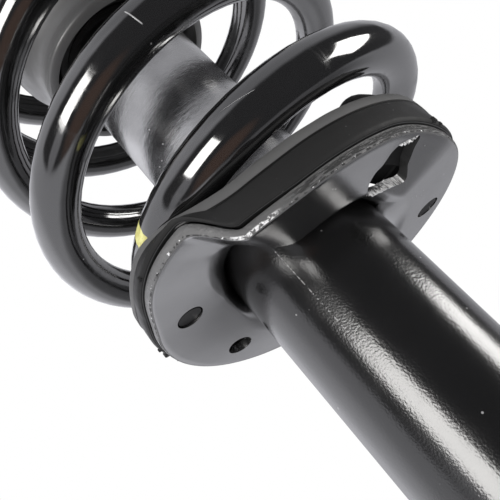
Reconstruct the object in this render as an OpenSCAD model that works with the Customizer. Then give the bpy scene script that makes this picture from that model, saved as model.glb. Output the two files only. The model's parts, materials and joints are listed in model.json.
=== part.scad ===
// Suspension strut assembly: damper, lower spring seat, coil spring, dust boot and top mount.
// Millimetres, +Z up along the strut. The origin is on the strut axis, halfway along the length
// of tube that the steering knuckle clamps.
// Heights named *_z are measured from the spring datum, the level where the wire leaves its seat.

/* [Body tube] */
// Outside diameter of the reservoir tube below the spring seat
tube_d = 50; // [46:0.5:56]
// Outside diameter of the reservoir tube above the spring seat
neck_d = 46.5; // [43:0.5:50]
// Wall of the reservoir tube
tube_wall = 2.5; // [1.5:0.1:3.5]
// Length of tube below the spring datum
tube_below = 236; // [210:1:300]
// Length of tube above the spring datum
tube_above = 112; // [100:1:130]

/* [Knuckle clamp] */
// Outside diameter of the sized length that the steering knuckle clamps
clamp_d = 49; // [46:0.1:49.4]
// Length of tube that the steering knuckle clamps
clamp_length = 70; // [55:1:90]
// Width of the tab that lines the strut up with the slot of the knuckle clamp
tab_width = 16; // [10:0.5:22]
// Sheet thickness of the tab
tab_sheet = 4; // [3:0.5:6]
// Length of the tab
tab_length = 28; // [16:1:40]

/* [Damper] */
// Diameter of the piston rod
rod_d = 22; // [18:0.5:25]
// Bore of the pressure tube
bore_d = 32; // [28:0.5:35]
// Wall of the pressure tube
pressure_wall = 1.5; // [1:0.1:2]
// Travel from full extension to the bump stop
travel = 90; // [60:1:95]
// Length of the piston
piston_length = 20; // [14:1:28]
// Height of the bump stop
bump_length = 46; // [30:1:60]
// Diameter of the rod's upper thread
rod_thread_d = 14; // [12:1:16]

/* [Coil spring] */
// Diameter of the spring wire
wire_d = 14; // [11:0.1:14.4]
// Mean diameter of the free coils
coil_d = 119.2; // [112:0.2:124]
// Mean diameter of the drawn-in lower end coil
end_coil_d = 90; // [88:0.2:92]
// Rise of one free coil
coil_pitch = 40.9; // [34:0.1:46]
// Number of free coils between the two end coils
free_turns = 5.2; // [4.9:0.05:6]

/* [Lower spring seat] */
// Width of the pan outside the end coil
seat_margin = 1.3; // [1:0.1:3]
// Sheet thickness of the seat pan
seat_sheet = 3; // [2:0.1:4]
// Depth of the seat pan's low side under the spring datum
seat_low = 23; // [20:0.5:26]
// Rise of the helical ramp from the low side to the high side
seat_rise = 14.7; // [10:0.1:16]
// Height of the collar that grips the tube
collar_height = 14; // [10:0.5:16]
// Diameter of the drain and locating holes
drain_d = 8.8; // [5:0.1:10]

/* [Dust boot] */
// Diameter of the boot's open lower mouth
mouth_d = 67; // [64:0.5:70]
// Diameter of the boot's bellows
boot_d = 80; // [76:1:90]
// Wall of the boot
boot_wall = 2; // [1.2:0.1:3]
// Height of the mouth above the spring datum
mouth_z = 93; // [92:1:105]
// Number of bellows folds
boot_folds = 7; // [4:1:9]

/* [Top mount] */
// Diameter of the stud circle
stud_circle_d = 130; // [124:1:150]
// Diameter of the studs
stud_d = 10; // [8:1:12]
// Number of studs
stud_count = 3; // [2:1:5]
// Length of stud above the mounting face
stud_length = 22; // [15:1:35]
// Sheet thickness of the mounting plate
plate_sheet = 3; // [2:0.5:4]
// Diameter of the bearing balls
ball_d = 6; // [5:0.5:7]
// Number of bearing balls
ball_count = 30; // [16:1:36]

/* [Hidden] */
$fn = 72;

// Clearances: running fit, seat of one piece in another, soft piece against its neighbour
run_fit = 0.05;
seat_fit = 0.15;
soft_fit = 0.2;
weld_fit = 0.02;

tube_r = tube_d / 2;
neck_r = neck_d / 2;
rod_r = rod_d / 2;
bore_r = bore_d / 2;
wire_r = wire_d / 2;
coil_r = coil_d / 2;
end_coil_r = end_coil_d / 2;
seat_r = end_coil_r + wire_r + seat_margin;
thread_r = rod_thread_d / 2;
pressure_r = bore_r + pressure_wall;
clamp_r = clamp_d / 2;
cup_height = 6;                            // rounded base under the clamped length
datum_height = tube_below - clamp_length / 2 - cup_height;

function clamp(u) = min(1, max(0, u));
function smooth(u) = let (v = clamp(u)) v * v * (3 - 2 * v);
function mix(a, b, u) = a + (b - a) * u;

// Everything on the strut axis is drawn round Z at the spring datum, then set here.
module on_strut() {
    translate([0, 0, datum_height]) children();
}

// Ring between two radii and two heights
module ring(outer, inner, low, high) {
    rotate_extrude() translate([inner, low]) square([outer - inner, high - low]);
}

// Solid of revolution from a closed outline of [radius, height] points
module turned(outline) {
    rotate_extrude() polygon(outline);
}

// Closed band: one closed section for each direction round the axis, as many points in each
module band(sections) {
    n = len(sections);
    m = len(sections[0]);
    points = [for (s = sections) each s];
    faces = [for (i = [0:n - 1], j = [0:m - 1])
        let (a = i * m + j, b = i * m + (j + 1) % m,
             c = ((i + 1) % n) * m + (j + 1) % m, d = ((i + 1) % n) * m + j)
        each [[a, b, c], [a, c, d]]];
    polyhedron(points, faces, convexity = 8);
}

// Tube swept along open rows of ring points, closed at both ends
module swept(rings) {
    n = len(rings);
    m = len(rings[0]);
    points = [for (r = rings) each r];
    sides = [for (i = [0:n - 2], j = [0:m - 1])
        let (a = i * m + j, b = i * m + (j + 1) % m, c = a + m, d = b + m)
        each [[a, b, d], [a, d, c]]];
    start = [for (j = [1:m - 2]) [0, j + 1, j]];
    last = (n - 1) * m;
    finish = [for (j = [1:m - 2]) [last, last + j, last + j + 1]];
    polyhedron(points, concat(sides, start, finish), convexity = 10);
}

// ---- lower seat: ramp, outline and the wire that lies on it -------------------------------

// Directions are degrees round the axis; the wire's own angle keeps counting through its turns.
ramp_end = -123;          // the wire leaves the ramp here
ramp_sweep = 160;         // arc over which the ramp climbs
step_start = -104;        // the pan drops from its high side to its low side here
step_sweep = 12;
inner_sweep = 26;         // the drop is gentler where the pan bends into the collar
front_start = -370;       // the low side lifts again towards the front from here
front_sweep = 35;
front_lift = 3.5;
lobe_at = -110;           // the pan bulges here, where the wire swings out
lobe_half = 38;
lobe_size = 6;
wire_start = -378;        // lower end of the wire, against the pad's stop
taper_start = -150;       // the end coil starts to open out here
taper_end = -50;          // and is at its full diameter here
bend_r = 8;               // bend from the pan into the collar
pad_floor = 1.15;
pad_fit = 0.35;
collar_r = tube_r + seat_fit;
// directions of the pan's sections, closer together along the step
seat_angles = concat([for (t = [-180:4:step_start - 8]) t],
    [for (t = [step_start - 6:2:step_start + step_sweep + 8]) t],
    [for (t = [step_start + step_sweep + 12:4:178]) t]);

seat_high_level = seat_rise - seat_low;
front_level = front_lift - seat_low;
wire_over_seat = seat_sheet + soft_fit + pad_floor + pad_fit + wire_r;

function ramp_level(a) = -seat_low + seat_rise * smooth((a - ramp_end) / ramp_sweep + 1);
function front_part(a) = front_lift * smooth((front_start - a) / front_sweep);
function seat_level(t, sweep = step_sweep) =
    let (from = step_start + (step_sweep - sweep) / 2)
    mix(ramp_level(t), ramp_level(t - 360) + front_part(t - 360),
        t > from ? smooth((t - from) / sweep) : 0);
function lobe(t) = lobe_size * (0.5 + 0.5 * cos(180 * clamp(abs(t - lobe_at) / lobe_half)));
function seat_outline(t) = seat_r + lobe(t);
// underside of the pan at one direction and radius
function pan_level(t, r) = mix(seat_level(t), seat_level(t, inner_sweep),
    clamp((seat_outline(t) - r) / (seat_outline(t) - collar_r - bend_r)));
// the sheet stands thicker, measured upright, where the step slopes it
step_slope = (seat_rise - front_lift) / (seat_r * PI / 180 * step_sweep);
function seat_upright(t) =
    let (u = clamp((t - step_start) / step_sweep), w = 6 * u * (1 - u) * step_slope * 0.8)
    seat_sheet * sqrt(1 + w * w);

// The wire: radius and height at its own angle
wire_leave_z = seat_high_level + wire_over_seat;
free_start_z = coil_pitch / 9;
lead = coil_pitch / 360;
leave_sweep = taper_end - ramp_end;
free_end = taper_end + 360 * free_turns;
ease_sweep = 150;
flat_sweep = 130;
wire_end = free_end + ease_sweep + flat_sweep;
coil_top_z = free_start_z + coil_pitch * free_turns + lead * ease_sweep / 2;

function wire_radius(a) =
    end_coil_r + (coil_r - end_coil_r) * smooth((a - taper_start) / (taper_end - taper_start));
function leaving(u) =
    wire_leave_z * (1 - 3 * u * u + 2 * u * u * u) + free_start_z * (3 * u * u - 2 * u * u * u)
    + lead * leave_sweep * (u * u * u - u * u);
function wire_z(a) =
    a < ramp_end ? ramp_level(a) + wire_over_seat :
    a < taper_end ? leaving((a - ramp_end) / leave_sweep) :
    a < free_end ? free_start_z + lead * (a - taper_end) :
    a < free_end + ease_sweep ?
        let (u = a - free_end)
        free_start_z + coil_pitch * free_turns + lead * (u - u * u / (2 * ease_sweep)) :
    coil_top_z;
function wire_point(a) = [wire_radius(a) * cos(a), wire_radius(a) * sin(a), wire_z(a)];

// ---- levels of the upper end ---------------------------------------------------------------

upper_pad_sheet = 4;
upper_sheet = 2.5;
upper_seat_r = coil_r + wire_r + 5.5;
upper_pad_z = coil_top_z + wire_r + 0.3;
upper_seat_z = upper_pad_z + upper_pad_sheet;
race_low_z = upper_seat_z + upper_sheet;
race_height = 6;
race_gap = ball_d / 2;
race_half = 8;
stud_head_r = stud_d / 2 + 2;
knurl_r = stud_d / 2 + 0.4;                // knurled neck pressed through both plates
race_r = stud_circle_d / 2 - stud_head_r - 0.5 - race_half;
race_high_z = race_low_z + race_height + race_gap;
mount_z = race_high_z + race_height;
face_z = mount_z + 2 * plate_sheet;
flange_r = stud_circle_d / 2 + 9;
dome_r = 38;
dome_height = 15.5;
dome_top_z = face_z + dome_height;
sleeve_r = 13;
sleeve_flange_r = 24;
sleeve_flange = 3.5;
rod_shoulder_z = mount_z - 1.5;
sleeve_top_z = dome_top_z - 1;
rod_top_z = sleeve_top_z + 18;

// ---- levels of the damper ------------------------------------------------------------------

base_z = -tube_below;
roll = 2;                                  // rolled-in lip that closes the tube
seal_height = 8;
guide_height = 22;
seal_top_z = tube_above - roll;
guide_top_z = seal_top_z - seal_height;
guide_low_z = guide_top_z - guide_height;
neck_bore_r = neck_r - tube_wall;
tube_bore_r = tube_r - tube_wall;
stop_height = 4;
buffer_height = 6;
stop_gap = 0.3;
buffer_top_z = guide_low_z - stop_gap;
stop_top_z = buffer_top_z - buffer_height;
stop_drop = 50;                            // rod length between rebound stop and piston
piston_top_z = stop_top_z - stop_height - stop_drop;
piston_low_z = piston_top_z - piston_length;
spigot_r = 6;
shim_height = 2.4;
nut_height = 9;
cap_height = 14;
cap_wall = 2.5;
cap_top_z = tube_above + cap_wall;
bump_sheet = 2;                            // floor of the cup over the bump stop
bump_top_z = rod_shoulder_z - bump_sheet;
bump_low_z = bump_top_z - bump_length;
bump_r = rod_r + 14;

// ---- the strut's body ------------------------------------------------------------------------

module reservoir_tube() {
    shoulder = 7;                          // the tube is drawn in above the seat collar
    taper = 4;
    low = base_z + cup_height;
    clamp_top = low + clamp_length;
    lip_r = rod_r + 5;
    color("black") on_strut() turned([
        [tube_bore_r, low], [clamp_r, low], [clamp_r, clamp_top], [tube_r, clamp_top + 0.5],
        [tube_r, shoulder], [neck_r, shoulder + taper],
        [neck_r, tube_above - 1.5], [neck_r - 1.5, tube_above], [lip_r, tube_above],
        [lip_r, tube_above - roll], [neck_bore_r, tube_above - roll],
        [neck_bore_r, shoulder + taper], [tube_bore_r, shoulder]]);
}

module base_cup() {
    rim = clamp_r - 0.1;
    color("black") on_strut() turned([
        [0, base_z], [rim - 5, base_z], [rim - 1.2, base_z + 2], [rim, base_z + cup_height],
        [tube_bore_r - seat_fit, base_z + cup_height], [tube_bore_r - seat_fit, base_z + 9],
        [tube_bore_r - 3, base_z + 9], [tube_bore_r - 5, base_z + 4], [0, base_z + 4]]);
}

// Tab welded to the back of the tube just above the clamp, in line with the clamp's slot
module index_tab() {
    low = -datum_height + clamp_length / 2 + 1.5;
    high = low + tab_length;
    foot_r = tube_r + 4;
    reach = tube_r + 14;
    color("black") on_strut() difference() {
        union() {
            translate([-tab_sheet / 2, 0, 0]) rotate([90, 0, 90]) linear_extrude(tab_sheet)
                polygon([[tube_r - 1, low], [reach - 3, low], [reach, low + 3],
                    [reach, high - 12], [foot_r, high], [tube_r - 1, high]]);
            intersection() {
                ring(foot_r, tube_r - 1, low, high);
                translate([-tab_width / 2, 0, low]) cube([tab_width, foot_r + 1, tab_length]);
            }
        }
        translate([0, 0, low - 1]) cylinder(r = tube_r + weld_fit, h = tab_length + 2);
    }
}

// Section of the seat pan at one direction: rim, underside, bend, collar and back over the top
function seat_section(t) =
    let (z = seat_level(t), r = seat_outline(t), edge = 0.6, top_bend = bend_r - seat_sheet,
         centre = collar_r + bend_r, low = seat_level(t, inner_sweep), thick = seat_upright(t),
         top = z + thick)
    [for (p = concat(
        [[r, z + edge], [r - edge, z]],
        [for (k = [0:3]) [centre - bend_r * sin(30 * k), low + bend_r - bend_r * cos(30 * k)]],
        [[collar_r, low + collar_height], [collar_r + seat_sheet, low + collar_height]],
        [for (k = [3:-1.5:0])
            [centre - top_bend * sin(30 * k), low + thick + top_bend - top_bend * cos(30 * k)]],
        [[r - edge, top], [r, top - edge]]))
    [p[0] * cos(t), p[0] * sin(t), p[1]]];

// drain and locating holes: direction and radius
drains = [[-147, seat_r - 11], [162, seat_r - 11.5], [30, seat_r - 8.7]];
window = [[25, -25], [27, -29], [33, -32], [38, -32.2], [43, -28], [40, -24], [38.5, -17],
    [37, -12], [34, -10.5], [29, -15], [25, -19.5]];

module spring_seat() {
    color("dimgray") on_strut() difference() {
        band([for (t = seat_angles) seat_section(t)]);
        for (d = drains)
            rotate(d[0]) translate([d[1], 0, -seat_low - 2])
                cylinder(r = drain_d / 2, h = seat_rise + 8);
        // pierced window in front of the stop for the wire's end
        translate([0, 0, -seat_low - 2]) linear_extrude(12) polygon(window);
    }
}

// ---- rubber pad between seat and spring ------------------------------------------------------

pad_over = 1.2;           // the pad's wall stands this far past the pan
lip_lobe = 0.6;           // share of the pan's bulge that the lip follows
lip_under_wire = 1.4;     // the high lip ends this far below the wire's centre
lip_over_wire = 2.6;      // and climbs to this far above it along the ramp
lip_wall = 0.9;
front_drop = 9.3;         // the front lip is this far under the wire's centre
lip_fall_start = -120;
lip_fall_sweep = 34;
lip_climb_start = -125;
lip_climb_sweep = 40;
floor_turn_start = -90;
floor_turn_sweep = 45;
stop_from = -38;          // rubber stop for the wire's end
stop_to = wire_start + 360 - 2;
// the groove for the wire's end starts sharply at the stop
pad_angles = concat([for (t = seat_angles) if (t < stop_to - 1) t],
    [stop_to - 0.6, stop_to + 0.1], [for (t = seat_angles) if (t > stop_to + 1) t]);
pad_least = 0.3;          // thinnest rubber between the wire and the pan
stop_r = 6;
stop_over = 9;            // height of the stop's top above the front lip

front_lip_z = wire_leave_z - front_drop;
low_lip_z = wire_z(wire_start) + lip_over_wire;
function high_lip(t) = mix(wire_leave_z - lip_under_wire,
    min(wire_leave_z + 0.5, wire_z(t) + lip_over_wire), smooth((lip_climb_start - t) / lip_climb_sweep));
function pad_lip(t) =
    t < stop_to ? mix(high_lip(t), front_lip_z, smooth((t - lip_fall_start) / lip_fall_sweep)) :
    mix(front_lip_z, min(wire_z(t - 360) + lip_over_wire, wire_leave_z + 0.5),
        smooth((t - stop_to) / 12));
floor_r = end_coil_r + wire_r; // the free part of the pad, under the rising wire
function groove_r(t) =
    t > stop_to || t < step_start ? wire_radius(t > stop_to ? t - 360 : t) :
    mix(min(floor_r, wire_radius(t)), end_coil_r,
        smooth((t - floor_turn_start) / floor_turn_sweep));
function groove_z(t) =
    t > stop_to ? wire_z(t - 360) :
    t < step_start ? wire_z(t) :
    mix(wire_z(t), front_lip_z - 1.5 + wire_r, smooth((t - step_start) / 18));

// the pad bridges the step instead of following it tightly
function step_clear(t) =
    smooth(1.3 - abs(t - step_start - step_sweep / 2) / inner_sweep * 1.3);
function pad_section(t) =
    let (rise = seat_upright(t) + soft_fit + step_clear(t), lip = pad_lip(t), outer = seat_outline(t) + pad_over,
         top_r = seat_r + pad_over + lip_lobe * lobe(t),
         g = wire_r + pad_fit, gr = groove_r(t), gz = groove_z(t),
         from = asin(max(-0.97, min(0, (lip - gz) / g))), to = -150)
    [for (p = concat(
        [[outer, seat_level(t) + rise], [mix(outer, top_r, 0.8), lip - 1.2], [top_r - 0.5, lip],
            [min(top_r - lip_wall, gr + g * cos(from)) + 0.1, lip]],
        [for (k = [0:5]) let (w = mix(from, to, k / 5), r = min(top_r - lip_wall, gr + g * cos(w)))
            [r, max(pan_level(t, r) + rise + pad_least, gz + g * sin(w))]],
        [for (d = [2.2, 2.6]) let (r = gr + g * cos(to) - d)
            [r, d < 2.5 ? max(pan_level(t, r) + rise + pad_least, gz + g * sin(to))
                : pan_level(t, r) + rise]]))
    [p[0] * cos(t), p[0] * sin(t), p[1]]];

module lower_pad() {
    peg_r = drain_d / 2 - 0.4;
    stop_z = front_lip_z + stop_over - stop_r;
    color("#2b2b2d") on_strut() union() {
        band([for (t = pad_angles) pad_section(t)]);
        for (d = [drains[0], drains[2]])
            rotate(d[0]) translate([d[1], 0, seat_level(d[0]) + 0.6])
                cylinder(r = peg_r, h = seat_sheet + 0.8);
        rotate(stop_from) rotate_extrude(angle = stop_to - stop_from)
            translate([end_coil_r, stop_z]) circle(r = stop_r, $fn = 20);
        rotate(stop_from) translate([end_coil_r, 0, stop_z]) sphere(r = stop_r, $fn = 20);
    }
}

// ---- coil spring -----------------------------------------------------------------------------

rings_per_turn = 36;
wire_sides = 12;
spring_rings = ceil((wire_end - wire_start) / 360 * rings_per_turn);
// a polygon of as many sides keeps the wire's full section
wire_corner_r = wire_r;

function spring_angle(i) = wire_start + (wire_end - wire_start) * i / spring_rings;
function ring_at(a) =
    let (p = wire_point(a), q = wire_point(a + 0.5) - wire_point(a - 0.5), f = q / norm(q),
         out = [cos(a), sin(a), 0], side = out - f * (out * f), n = side / norm(side),
         b = cross(f, n))
    [for (j = [0:wire_sides - 1]) let (w = 360 * j / wire_sides)
        p + wire_corner_r * (cos(w) * n + sin(w) * b)];

// Least gap of the wire to its own next turn, measured on the points of its centre line
spring_points = [for (i = [0:spring_rings]) wire_point(spring_angle(i))];
half_turn = floor(rings_per_turn / 2);
spring_gap = min([for (i = [0:spring_rings],
        j = [i + half_turn:1:min(spring_rings, i + 3 * half_turn)])
    norm(spring_points[i] - spring_points[j])]) - wire_d;
echo(spring_gap_mm = spring_gap);

module coil_spring() {
    color("#0c0c0d") on_strut() swept([for (i = [0:spring_rings]) ring_at(spring_angle(i))]);
}

// ---- inside of the damper ----------------------------------------------------------------------

valve_height = 16;
valve_low_z = base_z + 4 + seat_fit;
pressure_low_z = valve_low_z + 6;

module pressure_tube() {
    color("silver") on_strut() ring(pressure_r, bore_r, pressure_low_z, guide_low_z + 5);
}

module base_valve() {
    hub = bore_r - seat_fit;
    color("gray") on_strut() difference() {
        union() {
            ring(hub, 3, pressure_low_z, valve_low_z + valve_height);
            ring(tube_bore_r - 7, 3, valve_low_z, pressure_low_z);
        }
        for (a = [0:60:359])
            rotate(a) translate([bore_r - 5.5, 0, valve_low_z - 1])
                cylinder(r = 1.6, h = valve_height + 2);
        for (a = [30:60:359])
            rotate(a) translate([tube_bore_r - 9.5, 0, valve_low_z - 1])
                cylinder(r = 1.5, h = 4);
    }
}

module base_valve_spring_disc() {
    top = valve_low_z + valve_height;
    color("silver") on_strut() union() {
        ring(bore_r - 2.5, 3, top, top + 0.8);
        turned([[0, valve_low_z + 2], [2.85, valve_low_z + 2], [2.85, top + 0.8],
            [6, top + 0.8], [5, top + 4], [0, top + 4]]);
    }
}

module rod_guide() {
    skirt = 5;                             // centres the pressure tube
    bush_r = rod_r + run_fit + 1.5;
    color("lightgray") on_strut() turned([
        [bush_r, guide_low_z], [bore_r - seat_fit, guide_low_z],
        [bore_r - seat_fit, guide_low_z + skirt], [pressure_r + 1, guide_low_z + skirt],
        [neck_bore_r - seat_fit, guide_low_z + skirt + 3], [neck_bore_r - seat_fit, guide_top_z],
        [bush_r + 3, guide_top_z], [bush_r + 3, guide_top_z - 3], [bush_r, guide_top_z - 3]]);
}

module guide_bush() {
    inner = rod_r + run_fit;
    color("peru") on_strut() ring(inner + 1.5, inner, guide_low_z, guide_top_z - 3);
}

module rod_seal() {
    inner = rod_r + run_fit;
    low = guide_top_z;
    color("#303030") on_strut() turned([
        [inner, low + 1], [inner + 1.5, low], [neck_bore_r - seat_fit, low],
        [neck_bore_r - seat_fit, seal_top_z], [inner + 3, seal_top_z],
        [inner + 1.5, seal_top_z - 2.5], [inner, seal_top_z - 1]]);
}

// Cap over the tube's end that the bump stop strikes
module striker_cap() {
    inner = neck_r + seat_fit;
    outer = inner + cap_wall;
    color("#202022") on_strut() turned([
        [rod_r + 2, tube_above], [inner, tube_above], [inner, cap_top_z - cap_height],
        [outer, cap_top_z - cap_height], [outer, cap_top_z - 2], [outer - 2, cap_top_z],
        [rod_r + 2, cap_top_z]]);
}

// ---- upper spring seat and boot ----------------------------------------------------------------

boot_neck_r = mouth_d / 2 - boot_wall + 0.5;
hub_r = race_r - race_half - seat_fit;

module upper_seat() {
    inner = boot_eye_r;
    low = upper_seat_z;
    top = race_low_z;
    color("black") on_strut() turned([
        [inner, low], [upper_seat_r - upper_sheet, low],
        [upper_seat_r - upper_sheet, low - 8], [upper_seat_r, low - 8],
        [upper_seat_r, top - 1.5], [upper_seat_r - 1.5, top], [hub_r, top], [hub_r, top + 4],
        [hub_r - upper_sheet, top + 4], [hub_r - upper_sheet, top], [inner, top]]);
}

module upper_pad() {
    outer = upper_seat_r - upper_sheet - soft_fit;
    inner = coil_r - wire_r - 2;
    low = upper_pad_z;
    color("#2b2b2d") on_strut() turned([
        [inner, low], [coil_r + wire_r + 0.5, low], [coil_r + wire_r + 0.5, low - 4],
        [outer, low - 4], [outer, upper_seat_z], [inner, upper_seat_z]]);
}

flare_length = 42;
boot_flare_z = mouth_z + flare_length;
boot_eye_r = boot_d / 2 - 11;              // the boot's flange reaches in to here
boot_top_z = upper_seat_z;
fold_pitch = (boot_top_z - 8 - boot_flare_z) / boot_folds;
fold_depth = 4;

// Outline of the boot's outside from the mouth's bead to the top flange
boot_outside = concat(
    [[mouth_d / 2, mouth_z + 1.2], [mouth_d / 2, mouth_z + 3], [boot_neck_r + 0.8, mouth_z + 5],
        [boot_neck_r, mouth_z + 8], [boot_neck_r + 0.6, mouth_z + 14],
        [boot_neck_r + 6, mouth_z + 26], [boot_d / 2 - 1.5, boot_flare_z - 4]],
    [for (i = [0:boot_folds - 1]) let (z = boot_flare_z + fold_pitch * i)
        each [[boot_d / 2, z], [boot_d / 2, z + fold_pitch * 0.3],
            [boot_d / 2 - fold_depth, z + fold_pitch * 0.55],
            [boot_d / 2 - fold_depth, z + fold_pitch * 0.75]]],
    [[boot_d / 2, boot_top_z - 8], [boot_d / 2, boot_top_z]]);
boot_inside = [for (i = [len(boot_outside) - 1:-1:0]) let (p = boot_outside[i])
    [p[0] - boot_wall - (i < 2 ? 1.5 : 0), i == 0 ? mouth_z : p[1]]];

module dust_boot() {
    top_in = boot_eye_r;
    color("#3a3a3c") on_strut() turned(concat(
        [[mouth_d / 2 - 1, mouth_z]], boot_outside, [[top_in, boot_top_z],
            [top_in, boot_top_z - boot_wall], [boot_d / 2 - boot_wall, boot_top_z - boot_wall]],
        [for (i = [1:len(boot_inside) - 1]) boot_inside[i]]));
}

// Ring that snaps the boot's top flange to the upper seat
module boot_clip() {
    inner = boot_eye_r;
    clip = 1.2;
    low = boot_top_z - boot_wall - clip;
    color("dimgray") on_strut() turned([
        [inner - clip, low], [inner + 4, low], [inner + 4, low + clip], [inner, low + clip],
        [inner, race_low_z], [inner + 3, race_low_z], [inner + 3, race_low_z + clip],
        [inner - clip, race_low_z + clip]]);
}

// ---- thrust bearing ------------------------------------------------------------------------------

ball_z = race_low_z + race_height + race_gap / 2;
module race(low) {
    difference() {
        ring(race_r + race_half, race_r - race_half, low, low + race_height);
        rotate_extrude() translate([race_r, ball_z]) circle(r = ball_d / 2 + run_fit);
    }
}

module bearing_lower_race() {
    color("gray") on_strut() race(race_low_z);
}

module bearing_upper_race() {
    color("gray") on_strut() race(race_high_z);
}

module bearing_balls() {
    color("silver") on_strut() for (i = [0:ball_count - 1])
        rotate(360 * i / ball_count) translate([race_r, 0, ball_z]) sphere(d = ball_d);
}

// ---- top mount -------------------------------------------------------------------------------------

module mount_base() {
    inner = sleeve_flange_r + 2;
    color("dimgray") on_strut() difference() {
        ring(flange_r, inner, mount_z, mount_z + plate_sheet);
        for (i = [0:stud_count - 1])
            rotate(90 + 360 * i / stud_count) translate([stud_circle_d / 2, 0, mount_z - 1])
                cylinder(r = knurl_r + run_fit, h = plate_sheet + 2);
    }
}

module mount_plate() {
    low = mount_z + plate_sheet;
    nut_hole = 17;
    color("black") on_strut() difference() {
        turned([
            [dome_r, low], [flange_r, low], [flange_r, face_z], [dome_r + 6, face_z],
            [dome_r + plate_sheet, face_z + 3], [dome_r + plate_sheet, dome_top_z - 3],
            [dome_r, dome_top_z], [nut_hole, dome_top_z], [nut_hole, dome_top_z - plate_sheet],
            [dome_r, dome_top_z - plate_sheet]]);
        for (i = [0:stud_count - 1])
            rotate(90 + 360 * i / stud_count) translate([stud_circle_d / 2, 0, low - 1])
                cylinder(r = knurl_r + run_fit, h = plate_sheet + 2);
    }
}

module mount_rubber() {
    low = mount_z + plate_sheet;
    outer = dome_r - soft_fit;
    inner = sleeve_r + run_fit;
    high = dome_top_z - plate_sheet - soft_fit;
    color("#1c1c1e") on_strut() turned([
        [inner, low], [outer, low], [outer, high], [24, high], [20, high - 4],
        [inner, high - 5]]);
}

module mount_sleeve() {
    bore = thread_r + seat_fit;
    low = rod_shoulder_z;
    color("silver") on_strut() turned([
        [bore, low], [sleeve_flange_r, low], [sleeve_flange_r, low + sleeve_flange],
        [sleeve_r, low + sleeve_flange], [sleeve_r, sleeve_top_z], [bore, sleeve_top_z]]);
}

module mount_studs() {
    head = 3;
    color("goldenrod") on_strut() for (i = [0:stud_count - 1])
        rotate(90 + 360 * i / stud_count) translate([stud_circle_d / 2, 0, 0]) turned([
            [0, mount_z - head], [stud_head_r - 0.5, mount_z - head],
            [stud_head_r, mount_z - head + 0.5], [stud_head_r, mount_z],
            [knurl_r, mount_z], [knurl_r, face_z - 0.1], [stud_d / 2, face_z + 0.3],
            [stud_d / 2, face_z + stud_length - 1.5],
            [stud_d / 2 - 1.5, face_z + stud_length], [0, face_z + stud_length]]);
}

washer_height = 2.5;
module rod_washer() {
    color("silver") on_strut()
        ring(sleeve_r + 1, thread_r + seat_fit, sleeve_top_z, sleeve_top_z + washer_height);
}

module rod_nut() {
    low = sleeve_top_z + washer_height;
    color("goldenrod") on_strut() difference() {
        union() {
            translate([0, 0, low]) cylinder(r = sleeve_r - 0.6, h = 10, $fn = 6);
            ring(sleeve_r - 0.2, thread_r + 1, low, low + 1.5);
        }
        translate([0, 0, low - 1]) cylinder(r = thread_r + run_fit, h = 12);
    }
}

// ---- rod, piston and stops ---------------------------------------------------------------------------

rod_end_z = piston_low_z - shim_height - nut_height - 2;
module piston_rod() {
    neck = spigot_r;
    color("gainsboro") on_strut() difference() {
        turned([
            [0, rod_end_z], [neck - 1, rod_end_z], [neck, rod_end_z + 1],
            [neck, piston_top_z + shim_height], [rod_r, piston_top_z + shim_height],
            [rod_r, rod_shoulder_z - 1], [rod_r - 1, rod_shoulder_z],
            [thread_r, rod_shoulder_z], [thread_r, rod_top_z - 1.5],
            [thread_r - 1.5, rod_top_z], [0, rod_top_z]]);
        translate([0, 0, rod_top_z - 7]) cylinder(r = 3.5, h = 8, $fn = 6);
    }
}

module rebound_stop() {
    color("gray") on_strut()
        ring(rod_r + 3.2, rod_r + weld_fit, stop_top_z - stop_height, stop_top_z);
}

module rebound_buffer() {
    color("#303030") on_strut() turned([
        [rod_r + run_fit, stop_top_z], [rod_r + 3, stop_top_z], [rod_r + 3.4, stop_top_z + 2],
        [rod_r + 3.4, buffer_top_z - 2], [rod_r + 2.6, buffer_top_z],
        [rod_r + run_fit, buffer_top_z]]);
}

module piston() {
    groove = 1.5;
    outer = bore_r - 0.4;
    color("darkgray") on_strut() difference() {
        turned([
            [spigot_r + run_fit, piston_low_z], [outer, piston_low_z],
            [outer, piston_low_z + 3], [outer - groove, piston_low_z + 3],
            [outer - groove, piston_top_z - 3], [outer, piston_top_z - 3],
            [outer, piston_top_z], [spigot_r + run_fit, piston_top_z]]);
        for (a = [0:60:359])
            rotate(a) translate([(outer + spigot_r) / 2 - 0.8, 0, piston_low_z - 1])
                cylinder(r = 1.4, h = piston_length + 2);
    }
}

module piston_band() {
    color("#1c1c1e") on_strut()
        ring(bore_r - run_fit, bore_r - 0.4 - 1.5, piston_low_z + 3, piston_top_z - 3);
}

module piston_shims() {
    inner = spigot_r + run_fit;
    color("silver") on_strut() {
        turned([[inner, piston_top_z], [bore_r - 4, piston_top_z],
            [bore_r - 4, piston_top_z + 0.8], [bore_r - 6, piston_top_z + 1.6],
            [bore_r - 7, piston_top_z + shim_height], [inner, piston_top_z + shim_height]]);
        turned([[inner, piston_low_z - shim_height], [bore_r - 7, piston_low_z - shim_height],
            [bore_r - 6, piston_low_z - 1.6], [bore_r - 4, piston_low_z - 0.8],
            [bore_r - 4, piston_low_z], [inner, piston_low_z]]);
    }
}

module piston_nut() {
    top = piston_low_z - shim_height;
    color("gray") on_strut() difference() {
        translate([0, 0, top - nut_height]) cylinder(r = 10.5, h = nut_height, $fn = 6);
        translate([0, 0, top - nut_height - 1])
            cylinder(r = spigot_r + run_fit, h = nut_height + 2);
    }
}

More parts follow.
